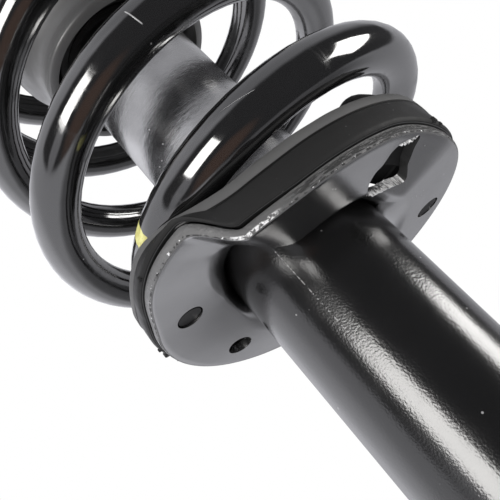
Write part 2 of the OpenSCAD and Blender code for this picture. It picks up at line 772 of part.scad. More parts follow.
// Microcellular buffer with two waists
module bump_stop() {
    inner = rod_r + 0.5;
    outer = bump_r;
    third = bump_length / 3;
    color("#c9b458") on_strut() turned([
        [inner, bump_low_z], [inner + 5, bump_low_z], [outer - 5, bump_low_z + third * 0.4],
        [outer - 5, bump_low_z + third * 0.7], [outer - 8, bump_low_z + third],
        [outer - 2, bump_low_z + third * 1.4], [outer - 2, bump_low_z + third * 1.7],
        [outer - 6, bump_low_z + third * 2], [outer, bump_low_z + third * 2.4],
        [outer, bump_top_z], [inner, bump_top_z]]);
}

// Cup that locates the bump stop under the mount's sleeve
module bump_cup() {
    outer = bump_r + soft_fit;
    depth = 8;
    color("dimgray") on_strut() turned([
        [rod_r + 0.3, bump_top_z], [outer, bump_top_z], [outer, bump_top_z - depth],
        [outer + 1.5, bump_top_z - depth], [outer + 1.5, bump_top_z + 1.5],
        [sleeve_flange_r - 6, bump_top_z + 1.5], [sleeve_flange_r - 6, rod_shoulder_z],
        [rod_r + 0.3, rod_shoulder_z]]);
}

reservoir_tube();
base_cup();
index_tab();
spring_seat();
lower_pad();
coil_spring();
pressure_tube();
base_valve();
base_valve_spring_disc();
rod_guide();
guide_bush();
rod_seal();
striker_cap();
upper_seat();
upper_pad();
dust_boot();
boot_clip();
bearing_lower_race();
bearing_balls();
bearing_upper_race();
mount_base();
mount_rubber();
mount_sleeve();
mount_plate();
mount_studs();
rod_washer();
rod_nut();
piston_rod();
rebound_stop();
rebound_buffer();
piston();
piston_band();
piston_shims();
piston_nut();
bump_stop();
bump_cup();
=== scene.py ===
import json
import math

import bpy
from mathutils import Matrix, Vector


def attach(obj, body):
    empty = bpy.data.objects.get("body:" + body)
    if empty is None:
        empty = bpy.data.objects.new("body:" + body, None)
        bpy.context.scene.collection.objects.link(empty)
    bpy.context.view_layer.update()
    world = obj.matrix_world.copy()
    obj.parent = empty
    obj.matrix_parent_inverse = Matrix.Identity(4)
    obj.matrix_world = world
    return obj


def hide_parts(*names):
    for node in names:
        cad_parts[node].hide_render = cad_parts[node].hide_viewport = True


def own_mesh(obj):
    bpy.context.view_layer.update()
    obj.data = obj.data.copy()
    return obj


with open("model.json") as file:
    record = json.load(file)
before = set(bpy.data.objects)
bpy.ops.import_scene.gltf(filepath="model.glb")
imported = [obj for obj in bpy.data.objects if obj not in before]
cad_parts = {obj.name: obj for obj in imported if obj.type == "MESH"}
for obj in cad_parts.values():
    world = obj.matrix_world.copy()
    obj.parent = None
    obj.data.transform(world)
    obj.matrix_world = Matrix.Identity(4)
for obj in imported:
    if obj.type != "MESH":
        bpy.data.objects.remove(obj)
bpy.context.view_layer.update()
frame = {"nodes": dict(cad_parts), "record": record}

# ---- sizes of the part, in millimetres and degrees; heights count from the spring datum ----

MM = 0.001
DATUM = 195.0  # height of the spring datum in the part's frame
TUBE_R, NECK_R, ROD_R = 25.0, 23.25, 11.0
CLAMP_R, CLAMP_LOW, CLAMP_LENGTH = 24.5, -230.0, 70.0
TUBE_BORE_R, NECK_BORE_R = 22.5, 20.75
TUBE_ABOVE, SHOULDER, TAPER = 112.0, 7.0, 4.0
WIRE_R, COIL_R, END_COIL_R = 7.0, 59.6, 45.0
PITCH, FREE_TURNS = 40.9, 5.2
SEAT_R, SEAT_SHEET, SEAT_LOW, SEAT_RISE = 53.3, 3.0, 23.0, 14.7
COLLAR_R, COLLAR_HEIGHT, BEND_R = 25.15, 14.0, 8.0
DRAIN_R = 4.4
SOFT_FIT, PAD_FIT, PAD_FLOOR = 0.2, 0.35, 1.15
BOOT_R, MOUTH_R, MOUTH_Z, BOOT_WALL, BOOT_FOLDS = 40.0, 33.5, 93.0, 2.0, 7
UPPER_FIT, UPPER_PAD_SHEET, UPPER_SHEET, UPPER_RIM = 0.3, 4.0, 2.5, 5.5
BUMP_LENGTH, BUMP_R, BUMP_ROOT = 46.0, 25.0, 14.0

RAMP_END, RAMP_SWEEP = -123.0, 160.0
STEP_START, STEP_SWEEP, INNER_SWEEP = -104.0, 12.0, 26.0
FRONT_START, FRONT_SWEEP, FRONT_LIFT = -370.0, 35.0, 3.5
LOBE_AT, LOBE_HALF, LOBE_SIZE = -110.0, 38.0, 6.0
WIRE_START, TAPER_START, TAPER_END = -378.0, -150.0, -50.0
EASE_SWEEP, FLAT_SWEEP = 150.0, 130.0
SEAT_HIGH = SEAT_RISE - SEAT_LOW
WIRE_OVER_SEAT = SEAT_SHEET + SOFT_FIT + PAD_FLOOR + PAD_FIT + WIRE_R
WIRE_LEAVE = SEAT_HIGH + WIRE_OVER_SEAT
FREE_START = PITCH / 9
LEAD = PITCH / 360
FREE_END = TAPER_END + 360 * FREE_TURNS
WIRE_END = FREE_END + EASE_SWEEP + FLAT_SWEEP
COIL_TOP = FREE_START + PITCH * FREE_TURNS + LEAD * EASE_SWEEP / 2
STOP_FROM, STOP_TO, STOP_R, STOP_OVER = -33.0, -20.0, 6.0, 9.0
FRONT_LIP_DROP = 9.3
FRONT_LIP = WIRE_LEAVE - FRONT_LIP_DROP
UPPER_PAD_Z = COIL_TOP + WIRE_R + UPPER_FIT
UPPER_SEAT_Z = UPPER_PAD_Z + UPPER_PAD_SHEET
UPPER_SEAT_R = COIL_R + WIRE_R + UPPER_RIM
BUMP_LOW = UPPER_SEAT_Z + BUMP_ROOT - BUMP_LENGTH


def clamp(u):
    return min(1.0, max(0.0, u))


def smooth(u):
    v = clamp(u)
    return v * v * (3 - 2 * v)


def mix(a, b, u):
    return a + (b - a) * u


def sin(a):
    return math.sin(math.radians(a))


def cos(a):
    return math.cos(math.radians(a))


def ramp_level(a):
    """Height of the seat's helix, for an angle that also counts whole turns."""
    return -SEAT_LOW + SEAT_RISE * smooth((a - RAMP_END) / RAMP_SWEEP + 1)


def front_part(a):
    """What lifts the low start of the helix in front of the step."""
    return FRONT_LIFT * smooth((FRONT_START - a) / FRONT_SWEEP)


def seat_level(t, sweep=STEP_SWEEP):
    """Underside of the pan in a direction, with the step over the given sweep."""
    start = STEP_START + (STEP_SWEEP - sweep) / 2
    u = smooth((t - start) / sweep) if t > start else 0.0
    return mix(ramp_level(t), ramp_level(t - 360) + front_part(t - 360), u)


def lobe(t):
    return LOBE_SIZE * (0.5 + 0.5 * cos(180 * clamp(abs(t - LOBE_AT) / LOBE_HALF)))


def seat_outline(t):
    return SEAT_R + lobe(t)


def pan_level(t, r):
    """Underside of the pan, whose step is steep at the rim and wide at the collar."""
    edge = seat_outline(t)
    u = clamp((edge - r) / (edge - COLLAR_R - BEND_R))
    return mix(seat_level(t), seat_level(t, INNER_SWEEP), u)


STEP_SLOPE = (SEAT_RISE - FRONT_LIFT) / (math.radians(SEAT_R) * STEP_SWEEP)
SLOPE_SHARE = 0.8


def seat_upright(t):
    """Thickness of the sheet measured upright, which is more where the step slopes it."""
    u = clamp((t - STEP_START) / STEP_SWEEP)
    w = 6 * u * (1 - u) * STEP_SLOPE * SLOPE_SHARE
    return SEAT_SHEET * math.sqrt(1 + w * w)


def wire_radius(a):
    u = smooth((a - TAPER_START) / (TAPER_END - TAPER_START))
    return END_COIL_R + (COIL_R - END_COIL_R) * u


def wire_z(a):
    """Height of the wire's middle: along the seat, up to the free pitch, and flat at the top."""
    if a < RAMP_END:
        return ramp_level(a) + WIRE_OVER_SEAT
    if a < TAPER_END:
        sweep = TAPER_END - RAMP_END
        u = (a - RAMP_END) / sweep
        rise = 3 * u * u - 2 * u**3
        return WIRE_LEAVE * (1 - rise) + FREE_START * rise + LEAD * sweep * (u**3 - u * u)
    if a < FREE_END:
        return FREE_START + LEAD * (a - TAPER_END)
    if a < FREE_END + EASE_SWEEP:
        u = a - FREE_END
        return FREE_START + PITCH * FREE_TURNS + LEAD * (u - u * u / (2 * EASE_SWEEP))
    return COIL_TOP


def wire_point(a):
    r = wire_radius(a)
    return Vector((r * cos(a), r * sin(a), wire_z(a)))


def wire_turn(a):
    """Place on the wire's form map of an angle along it."""
    return (a - WIRE_START) / 360


# ---- meshes ----

SHARP = 40  # degrees between faces, from which an edge shades sharp


def linked(name, data):
    obj = bpy.data.objects.new(name, data)
    bpy.context.scene.collection.objects.link(obj)
    return obj


def in_frame(points):
    """Points in millimetres from the spring datum as metres in the part's frame."""
    return [(x * MM, y * MM, (z + DATUM) * MM) for x, y, z in points]


def new_mesh(name, points, faces, sharp=SHARP, uvs=None):
    """Smooth object with a form map, where a face across the map's seam stays in one piece."""
    mesh = bpy.data.meshes.new(name)
    mesh.from_pydata(in_frame(points), [], faces)
    mesh.validate()
    if uvs is not None:
        layer = mesh.uv_layers.new(name="form")
        for poly in mesh.polygons:
            for loop in poly.loop_indices:
                layer.data[loop].uv = uvs[mesh.loops[loop].vertex_index]
            around = [layer.data[k].uv[0] for k in poly.loop_indices]
            if max(around) - min(around) > 0.5:
                for k in poly.loop_indices:
                    if layer.data[k].uv[0] < 0.5:
                        layer.data[k].uv[0] += 1.0
    mesh.polygons.foreach_set("use_smooth", [True] * len(mesh.polygons))
    mesh.set_sharp_from_angle(angle=math.radians(sharp))
    return linked(name, mesh)


def grid_faces(rows, columns, close_rows, close_columns):
    faces = []
    for i in range(rows if close_rows else rows - 1):
        for j in range(columns if close_columns else columns - 1):
            a = i * columns + j
            b = i * columns + (j + 1) % columns
            c = ((i + 1) % rows) * columns + (j + 1) % columns
            d = ((i + 1) % rows) * columns + j
            faces.append((a, d, c, b))
    return faces


def capped_faces(rows, sides):
    """Faces of a bar: rows of points along it, and a cap at either end."""
    faces = [tuple(reversed(f)) for f in grid_faces(rows, sides, False, True)]
    faces.append(tuple(range(sides - 1, -1, -1)))
    faces.append(tuple((rows - 1) * sides + j for j in range(sides)))
    return faces


def band(name, angles, section, sharp):
    """Closed ring whose closed section of (radius, height) changes with the direction."""
    rows = [section(t) for t in angles]
    count = len(rows[0])
    points, uvs = [], []
    for t, row in zip(angles, rows):
        for k, (r, z) in enumerate(row):
            points.append((r * cos(t), r * sin(t), z))
            uvs.append(((t % 360) / 360, k / count))
    return new_mesh(name, points, grid_faces(len(rows), count, True, True), sharp, uvs)


def turned(name, outline, steps, sharp, wobble=None):
    """Closed ring of one outline of (radius, height), which wobble may change a little."""
    points, uvs = [], []
    for i in range(steps):
        t = 360 * i / steps
        for k, (r, z) in enumerate(outline):
            if wobble:
                dr, dz = wobble(t, r, z)
                r, z = r + dr, z + dz
            points.append((r * cos(t), r * sin(t), z))
            uvs.append((i / steps, k / len(outline)))
    return new_mesh(name, points, grid_faces(steps, len(outline), True, True), sharp, uvs)


def rounded(outline, radius, steps=3):
    """The same closed outline with each corner rounded."""
    result = []
    count = len(outline)
    for i in range(count):
        p = Vector(outline[i])
        before, after = Vector(outline[i - 1]) - p, Vector(outline[(i + 1) % count]) - p
        reach = min(radius, before.length * 0.45, after.length * 0.45)
        if reach < 1e-4:
            result.append(tuple(p))
            continue
        a, b = p + before.normalized() * reach, p + after.normalized() * reach
        for k in range(steps + 1):
            u = k / steps
            q = a * (1 - u) ** 2 + p * 2 * u * (1 - u) + b * u * u
            result.append(tuple(q))
    return result


def curved(points, steps=6):
    """Smooth open curve through the points."""
    result = []
    pts = [Vector(p) for p in points]
    for i in range(len(pts) - 1):
        p0, p1, p2 = pts[max(i - 1, 0)], pts[i], pts[i + 1]
        p3 = pts[min(i + 2, len(pts) - 1)]
        for k in range(steps):
            u = k / steps
            q = 0.5 * (
                2 * p1 + (p2 - p0) * u + (2 * p0 - 5 * p1 + 4 * p2 - p3) * u * u
                + (3 * p1 - p0 - 3 * p2 + p3) * u**3
            )
            result.append(tuple(q))
    result.append(tuple(pts[-1]))
    return result


def combine(obj, tools, operation):
    """Cuts the tools out of obj, or joins them to it, and keeps the result as its mesh."""
    for tool in tools:
        if not tool.data.materials:
            tool.data.materials.append(obj.data.materials[0])
        modifier = obj.modifiers.new("form", "BOOLEAN")
        modifier.operation = operation
        modifier.solver = "EXACT"
        modifier.object = tool
        modifier.material_mode = "TRANSFER"
    graph = bpy.context.evaluated_depsgraph_get()
    mesh = bpy.data.meshes.new_from_object(obj.evaluated_get(graph))
    obj.modifiers.clear()
    old = obj.data
    obj.data = mesh
    bpy.data.meshes.remove(old)
    for tool in tools:
        bpy.data.objects.remove(tool)
    obj.data.set_sharp_from_angle(angle=math.radians(SHARP))
    return obj


def prism(name, outline, low, high):
    """Upright closed prism over an outline of (x, y)."""
    count = len(outline)
    points = [(x, y, low) for x, y in outline] + [(x, y, high) for x, y in outline]
    sides = [(i, (i + 1) % count, count + (i + 1) % count, count + i) for i in range(count)]
    faces = sides + [tuple(range(count - 1, -1, -1)), tuple(range(count, 2 * count))]
    return new_mesh(name, points, faces)


def spot(direction, radius):
    return radius * cos(direction), radius * sin(direction)


def disc(radius, middle, steps=48):
    x, y = middle
    return [
        (x + radius * cos(360 * k / steps), y + radius * sin(360 * k / steps))
        for k in range(steps)
    ]


# ---- materials ----


class Nodes:
    """Short calls for the nodes that the materials and the world use."""

    def __init__(self, tree):
        self.tree = tree

    def node(self, kind, inputs=(), **settings):
        """New node with its settings; an input is a value, or the socket that it is linked to."""
        made = self.tree.nodes.new(kind)
        for key, value in settings.items():
            setattr(made, key, value)
        for key, value in dict(inputs).items():
            if isinstance(value, bpy.types.NodeSocket):
                self.tree.links.new(value, made.inputs[key])
            else:
                made.inputs[key].default_value = value
        return made

    def ramp(self, fac, low, high, start=0.0, end=1.0):
        inputs = {
            "Value": fac, "From Min": low, "From Max": high, "To Min": start, "To Max": end
        }
        made = self.node("ShaderNodeMapRange", inputs, interpolation_type="SMOOTHSTEP")
        return made.outputs["Result"]

    def spread(self, noise, low, high):
        """A value from low to high over the usual range of a noise."""
        return self.ramp(noise, 0.3, 0.7, low, high)

    def between(self, value, start, full, still, end):
        """1 from full to still, and 0 outside start and end."""
        return self.times(self.ramp(value, start, full), self.ramp(value, end, still))

    def math(self, operation, a, b=0.0):
        return self.node("ShaderNodeMath", {0: a, 1: b}, operation=operation).outputs[0]

    def times(self, a, b):
        return self.math("MULTIPLY", a, b)

    def plus(self, a, b):
        return self.math("ADD", a, b)

    def most(self, a, b):
        return self.math("MAXIMUM", a, b)

    def colour(self, fac, a, b):
        inputs = {"Factor": fac, "A": a, "B": b}
        return self.node("ShaderNodeMix", inputs, data_type="RGBA").outputs["Result"]

    def greys(self, fac, low, high):
        return self.colour(fac, grey(low), grey(high))

    def part(self, vector, axis):
        return self.node("ShaderNodeSeparateXYZ", {0: vector}).outputs[axis]


class Shade(Nodes):
    """One node material, with its textures and its surface."""

    def __init__(self, name, **values):
        self.material = bpy.data.materials.new(name)
        self.material.use_nodes = True
        super().__init__(self.material.node_tree)
        self.surface = next(n for n in self.tree.nodes if n.type == "BSDF_PRINCIPLED")
        for key, value in values.items():
            self.surface.inputs[key.replace("_", " ")].default_value = value
        self.place = self.node("ShaderNodeTexCoord").outputs["Object"]

    def noise(self, scale, detail=3.0, rough=0.55, distortion=0.0, place=None):
        return self.node("ShaderNodeTexNoise", {
            "Vector": place or self.place, "Scale": scale, "Detail": detail, "Roughness": rough,
            "Distortion": distortion,
        }).outputs["Fac"]

    def cells(self, scale):
        inputs = {"Vector": self.place, "Scale": scale}
        return self.node("ShaderNodeTexVoronoi", inputs).outputs["Distance"]

    def form(self, axis):
        """A coordinate of the form map, which follows the mesh's own rows and columns."""
        return self.part(self.node("ShaderNodeUVMap", uv_map="form").outputs[0], axis)

    def stretched(self, scale):
        inputs = {"Vector": self.place, "Scale": scale}
        return self.node("ShaderNodeMapping", inputs).outputs[0]

    def along(self, x, y):
        return self.node("ShaderNodeCombineXYZ", {0: x, 1: y}).outputs[0]

    def bump(self, height, distance, strength, below=None):
        inputs = {"Height": height, "Distance": distance, "Strength": strength}
        if below is not None:
            inputs["Normal"] = below
        return self.node("ShaderNodeBump", inputs).outputs[0]

    def set(self, key, source):
        self.tree.links.new(source, self.surface.inputs[key])


def grey(value):
    return (value, value, value, 1.0)


def axis_angle(s):
    """Direction of a surface point round the strut axis, in degrees, and its height, in metres."""
    x, y = s.part(s.place, "X"), s.part(s.place, "Y")
    turn = s.times(s.math("ARCTAN2", y, x), 180 / math.pi)
    return turn, s.part(s.place, "Z")


def dust(s, size, patch, share):
    """Small specks in patches: cells and patches per metre, and how rare the patches are."""
    specks = s.ramp(s.cells(size), 0.13, 0.06)
    return s.times(specks, s.ramp(s.noise(patch, 2), share, share + 0.05))


# the dotted scratch on the tube: its direction and half width in degrees, and its end in metres
DOTS_AT, DOTS_EDGE, DOTS_CORE = -99.3, 0.45, 0.20
DOTS_OUT, DOTS_FULL = 0.120, 0.140


def tube_paint():
    """Gloss black paint with orange peel, dust in it and one dotted scratch along the front."""
    s = Shade("tube_paint", IOR=1.80)
    turn, up = axis_angle(s)
    near = s.math("ABSOLUTE", s.plus(turn, -DOTS_AT))
    line = s.times(s.ramp(near, DOTS_EDGE, DOTS_CORE), s.ramp(up, DOTS_OUT, DOTS_FULL))
    beads = s.noise(1, 2, 0.6, place=s.stretched((5, 5, 1300)))
    dots = s.times(line, s.ramp(beads, 0.50, 0.57))
    specks = s.most(dust(s, 330, 95, 0.59), s.times(dots, 0.9))
    base = s.greys(s.noise(26, 4, 0.6), 0.004, 0.008)
    s.set("Base Color", s.colour(specks, base, grey(0.36)))
    wear = s.ramp(s.noise(48, 5, 0.7), 0.35, 0.75, 0.17, 0.22)
    s.set("Roughness", s.plus(wear, s.times(specks, 0.3)))
    peel = s.bump(s.noise(1650, 1, 0.5), 0.00005, 0.75)
    s.set("Normal", s.bump(s.noise(150, 2, 0.5), 0.0003, 0.10, peel))
    return s.material


def neck_paint():
    """The coat above the seat, which mirrors more, with run marks and dull pits."""
    s = Shade("neck_paint", IOR=5.0)
    runs = s.noise(1, 4, 0.6, place=s.stretched((60, 60, 420)))
    pits = dust(s, 420, 130, 0.56)
    base = s.greys(s.noise(34, 5, 0.65), 0.004, 0.010)
    s.set("Base Color", s.colour(pits, base, grey(0.001)))
    wear = s.spread(s.noise(70, 5, 0.7), 0.17, 0.25)
    s.set("Roughness", s.plus(wear, s.times(pits, 0.3)))
    fine = s.bump(runs, 0.00010, 0.35, s.bump(pits, 0.0002, 0.5))
    s.set("Normal", s.bump(s.noise(420, 3, 0.6), 0.00008, 0.45, fine))
    return s.material


def seat_coat():
    """Satin grey dip coat with scuffs and flecks."""
    s = Shade("seat_coat", IOR=4.1)
    flecks = dust(s, 560, 100, 0.60)
    rubbed = s.ramp(s.noise(17, 6, 0.72, 1.2), 0.60, 0.72)
    scuff = s.times(rubbed, s.ramp(s.noise(240, 2), 0.40, 0.55))
    base = s.greys(s.noise(23, 5, 0.6), 0.011, 0.024)
    base = s.colour(s.times(scuff, 0.5), base, grey(0.006))
    s.set("Base Color", s.colour(flecks, base, grey(0.22)))
    rough = s.plus(s.spread(s.noise(70, 5, 0.7), 0.17, 0.24), s.times(scuff, 0.12))
    s.set("Roughness", s.plus(rough, s.times(flecks, 0.3)))
    fine = s.bump(s.noise(900, 2, 0.5), 0.00004, 0.4)
    s.set("Normal", s.bump(s.noise(75, 2, 0.5), 0.0005, 0.20, fine))
    return s.material


def seat_rim():
    """Sheared rim of the seat: coated, torn on the low side, uncoated at the burr, with painted
    glints.

    The form map's Y runs down the rim, from 0.9 at its upper edge to 1 at its lower one.
    """
    s = Shade("seat_rim", IOR=1.7)
    level, turn = s.form("Y"), s.form("X")
    degrees, up = axis_angle(s)
    lie = s.along(s.times(turn, 90.0), s.times(up, 1700.0))
    torn_side = s.between(degrees, -84.0, -74.0, 0.0, 20.0)
    fracture = s.between(level, 0.912, 0.924, 0.954, 0.966)
    lines = s.ramp(s.noise(1, 4, 0.7, place=lie), 0.42, 0.52)
    grooves = s.times(s.times(fracture, torn_side), lines)
    foot = s.between(level, 0.966, 0.974, 0.988, 0.996)
    ragged = s.noise(820, 4, 0.7)
    notches = s.times(foot, s.ramp(ragged, 0.47, 0.52))
    dark = s.most(grooves, notches)
    # painted glints: near-white specks along the lower edge and on the saddle's burr stand in for
    # light glinting off the torn, uncoated metal
    saddle = s.between(degrees, -96.5, -94.0, -86.0, -82.0)
    saddle = s.times(saddle, s.ramp(level, 0.948, 0.960))
    glints = s.ramp(s.noise(900, 2, 0.6), 0.66, 0.69)
    painted_glints = s.times(glints, s.ramp(level, 0.955, 0.965))
    bare_and_painted_glints = s.most(painted_glints, s.times(saddle, s.ramp(ragged, 0.46, 0.51)))
    base = s.greys(s.noise(60, 5, 0.7), 0.085, 0.135)
    base = s.colour(s.times(dark, 0.92), base, grey(0.008))
    s.set("Base Color", s.colour(bare_and_painted_glints, base, grey(0.95)))
    wear = s.spread(s.noise(300, 3, 0.7), 0.42, 0.58)
    s.set("Roughness", s.plus(wear, s.times(dark, 0.3)))
    edge = s.bump(s.math("SUBTRACT", ragged, dark), 0.0005, 0.7)
    s.set("Normal", s.bump(s.noise(1, 3, 0.6, place=lie), 0.0003, 0.35, edge))
    return s.material


# hairlines: angle along the wire and angle round it at either end, and width, all in degrees
SCRATCHES = [
    (281.35, -4.0, 282.05, 44.0, 0.20),
    (-78.0, -12.0, -70.0, 6.0, 0.12),
    (640.0, -60.0, 652.0, -30.0, 0.12),
    (150.0, 150.0, 158.0, 120.0, 0.12),
    (1120.0, 40.0, 1126.0, -10.0, 0.15),
]
YELLOW_FROM, YELLOW_TO, YELLOW_EDGE = -116.2, -110.8, 0.0006


def hairlines(s, turn, around):
    """The fine scratches on the wire."""
    marks = 0.0
    for a0, w0, a1, w1, width in SCRATCHES:
        lean, reach = (a1 - a0) / (w1 - w0), abs(w1 - w0)
        off = s.plus(turn, s.times(around, -lean))
        off = s.math("ABSOLUTE", s.plus(off, lean * w0 / 360 - wire_turn(a0)))
        span = s.math("ABSOLUTE", s.plus(around, -(w0 + w1) / 720))
        near = s.ramp(off, width / 360, width / 900)
        marks = s.most(s.times(near, s.ramp(span, reach / 720, reach / 900)), marks)
    return marks


def yellow_mark(s, turn, side):
    """Where the yellow paint lies: a short ragged length on the outer side of the wire."""
    ragged = s.times(s.plus(s.noise(420, 3, 0.6), -0.5), 0.006)
    place = s.plus(turn, ragged)
    low, high = wire_turn(YELLOW_FROM), wire_turn(YELLOW_TO)
    mark = s.between(place, low, low + YELLOW_EDGE, high - YELLOW_EDGE, high)
    front = s.most(s.ramp(side, 0.30, 0.27), s.ramp(side, 0.70, 0.73))
    return s.times(s.times(mark, front), s.ramp(s.noise(600, 3), 0.25, 0.33))


def spring_enamel():
    """Deep black gloss over the wire, with smudges, scratches, chips and the yellow mark."""
    s = Shade("spring_enamel", IOR=2.1)
    turn, side = s.form("Y"), s.form("X")
    base = s.greys(s.noise(30, 3), 0.0045, 0.009)
    chips = s.times(s.ramp(s.cells(260), 0.10, 0.05), s.ramp(s.noise(60, 3), 0.62, 0.68))
    base = s.colour(chips, base, grey(0.30))
    around = s.math("SUBTRACT", side, s.ramp(side, 0.4999, 0.5001))
    scratch = hairlines(s, turn, around)
    base = s.colour(s.times(scratch, 0.8), base, grey(0.55))
    mark = yellow_mark(s, turn, side)
    streak = s.ramp(s.noise(1, 4, 0.7, place=s.stretched((220, 220, 900))), 0.35, 0.62)
    yellow = s.colour(streak, (0.55, 0.50, 0.10, 1), (0.74, 0.72, 0.24, 1))
    s.set("Base Color", s.colour(mark, base, yellow))
    wear = s.ramp(s.noise(55, 5, 0.7), 0.35, 0.75, 0.07, 0.14)
    smudges = s.ramp(s.noise(46, 6, 0.75, 1.4), 0.52, 0.68, 0.0, 0.18)
    rough = s.plus(wear, smudges)
    s.set("Roughness", s.plus(rough, s.times(s.most(chips, mark), 0.4)))
    chipped = s.bump(s.most(chips, scratch), 0.0001, 0.4)
    s.set("Normal", s.bump(s.noise(120, 2, 0.5), 0.0003, 0.10, chipped))
    return s.material


def pad_rubber():
    """Moulded rubber: a dull grey lip with painted shade in the groove under it, and a smoother
    dark wall.

    On the lower pad the form map's Y runs up the wall and over the lip, from 0 to 0.28.
    """
    s = Shade("pad_rubber", Specular_IOR_Level=0.10)
    level = s.form("Y")
    lip = s.between(level, 0.112, 0.122, 0.245, 0.275)
    # painted shade: the groove under the lip is coloured near black as well as dented
    line = s.between(level, 0.096, 0.108, 0.112, 0.120)
    bloom = s.times(s.ramp(s.noise(21, 4, 0.6), 0.45, 0.7), 0.5)
    base = s.greys(s.noise(45, 5, 0.65), 0.018, 0.027)
    base = s.colour(bloom, base, grey(0.028))
    worn = s.greys(s.noise(75, 5, 0.7), 0.090, 0.135)
    base = s.colour(lip, base, worn)
    base = s.colour(s.times(line, 0.8), base, grey(0.006))
    s.set("Base Color", s.colour(dust(s, 640, 90, 0.60), base, grey(0.14)))
    wear = s.spread(s.noise(130, 5, 0.7), 0.44, 0.60)
    s.set("Roughness", s.plus(wear, s.times(lip, 0.12)))
    grain = s.bump(s.noise(1500, 3, 0.6), 0.00005, 0.6)
    grain = s.bump(s.times(line, -1.0), 0.0004, 0.6, grain)
    s.set("Normal", s.bump(s.noise(210, 3, 0.6), 0.00025, 0.4, grain))
    return s.material


def boot_rubber():
    """Satin rubber of the dust boot, cloudy and a little uneven."""
    s = Shade("boot_rubber", IOR=1.9)
    s.set("Base Color", s.greys(s.noise(30, 5, 0.65), 0.080, 0.120))
    s.set("Roughness", s.spread(s.noise(90, 5, 0.7), 0.34, 0.48))
    grain = s.bump(s.noise(1300, 3, 0.6), 0.00005, 0.5)
    s.set("Normal", s.bump(s.noise(90, 3, 0.6), 0.0006, 0.35, grain))
    return s.material


def foam_buffer():
    """Yellow microcellular foam with open pores."""
    s = Shade("foam_buffer", Specular_IOR_Level=0.25)
    s.set("Base Color", s.colour(s.noise(60, 5), (0.42, 0.30, 0.075, 1), (0.56, 0.43, 0.14, 1)))
    s.set("Roughness", s.spread(s.noise(200, 3), 0.75, 0.95))
    s.set("Normal", s.bump(s.ramp(s.cells(900), 0.0, 0.45), 0.0004, 0.5))
    return s.material


def plastic(name, mottle, low, high, wear, rough, grain, strength):
    """Moulded plastic: scales of its mottle, wear and grain, its greys and its roughness."""
    s = Shade(name)
    s.set("Base Color", s.greys(s.noise(mottle, 4), low, high))
    s.set("Roughness", s.spread(s.noise(wear, 4), rough, rough + 0.16))
    s.set("Normal", s.bump(s.noise(grain, 2), 0.00005, strength))
    return s.material


def metal(name, stained, clean, rough, lines, grain):
    """Bare metal with lathe or draw lines that run round the axis, stains and fine grain."""
    s = Shade(name, Metallic=1.0)
    tool = s.noise(1, 3, 0.6, place=s.stretched(lines))
    stain = s.ramp(s.noise(55, 5, 0.7), 0.4, 0.75)
    s.set("Base Color", s.colour(stain, (*clean, 1), (*stained, 1)))
    s.set("Roughness", s.plus(s.spread(tool, rough, rough + 0.12), s.times(stain, 0.08)))
    s.set("Normal", s.bump(s.noise(grain, 3), 0.00006, 0.4, s.bump(tool, 0.00005, 0.35)))
    return s.material


def torn_steel():
    """Torn edges of the seat's sheet, uncoated and bright where the coat broke away."""
    s = Shade("torn_steel")
    ragged = s.noise(1, 4, 0.7, place=s.stretched((900, 900, 160)))
    s.set("Base Color", s.greys(s.ramp(ragged, 0.38, 0.56), 0.10, 0.95))
    s.set("Metallic", s.ramp(ragged, 0.55, 0.75, 0.0, 0.6))
    s.set("Roughness", s.spread(ragged, 0.55, 0.30))
    s.set("Normal", s.bump(ragged, 0.0006, 0.9))
    return s.material


def sheared_edge():
    """The smooth part of the window's cut, dark and rough, with fine lines."""
    s = Shade("sheared_edge")
    s.set("Base Color", s.greys(s.noise(400, 4, 0.7), 0.010, 0.030))
    s.set("Roughness", s.spread(s.noise(300, 3), 0.45, 0.65))
    lines = s.noise(1, 3, 0.6, place=s.stretched((700, 700, 150)))
    s.set("Normal", s.bump(lines, 0.0003, 0.5))
    return s.material


PLASTICS = {
    "cap_plastic": (50, 0.016, 0.028, 160, 0.42, 1400, 0.6),
    "race_plastic": (40, 0.045, 0.075, 120, 0.34, 1100, 0.5),
}
METALS = {
    "bright_steel": ((0.40, 0.40, 0.41), (0.60, 0.60, 0.61), 0.22, (60, 60, 2600), 900),
    "sintered_steel": ((0.15, 0.15, 0.155), (0.26, 0.26, 0.27), 0.45, (300, 300, 300), 1600),
    "zinc_steel": ((0.48, 0.43, 0.30), (0.66, 0.62, 0.50), 0.26, (90, 90, 1500), 1000),
    "rod_chrome": ((0.62, 0.63, 0.65), (0.74, 0.75, 0.77), 0.06, (40, 40, 3000), 1500),
    "bronze": ((0.38, 0.25, 0.12), (0.56, 0.38, 0.19), 0.28, (80, 80, 1800), 1100),
}
FINISHES = {
    "tube_paint": tube_paint(),
    "seat_coat": seat_coat(),
    "spring_enamel": spring_enamel(),
    "pad_rubber": pad_rubber(),
    "boot_rubber": boot_rubber(),
    "foam_buffer": foam_buffer(),
}
FINISHES.update((name, plastic(name, *look)) for name, look in PLASTICS.items())
FINISHES.update((name, metal(name, *look)) for name, look in METALS.items())
TORN_STEEL, SHEARED_EDGE = torn_steel(), sheared_edge()
NECK_PAINT, SEAT_RIM = neck_paint(), seat_rim()

for item in frame["record"]["subparts"]:
    node = frame["nodes"][item["node"]]
    finish = FINISHES[item["material_slot"]]
    if not node.material_slots:
        node.data.materials.append(finish)
    for place in node.material_slots:
        place.material = finish


def placed(obj, body, slot, *nodes):
    """Gives a piece its finish, its body and the nodes that it stands for."""
    if not obj.data.materials:
        obj.data.materials.append(FINISHES[slot])
    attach(obj, body)
    if nodes:
        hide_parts(*nodes)
    return obj


# ---- coil spring ----

RINGS_PER_TURN, WIRE_SIDES, WIRE_BEVEL = 64, 32, 0.5


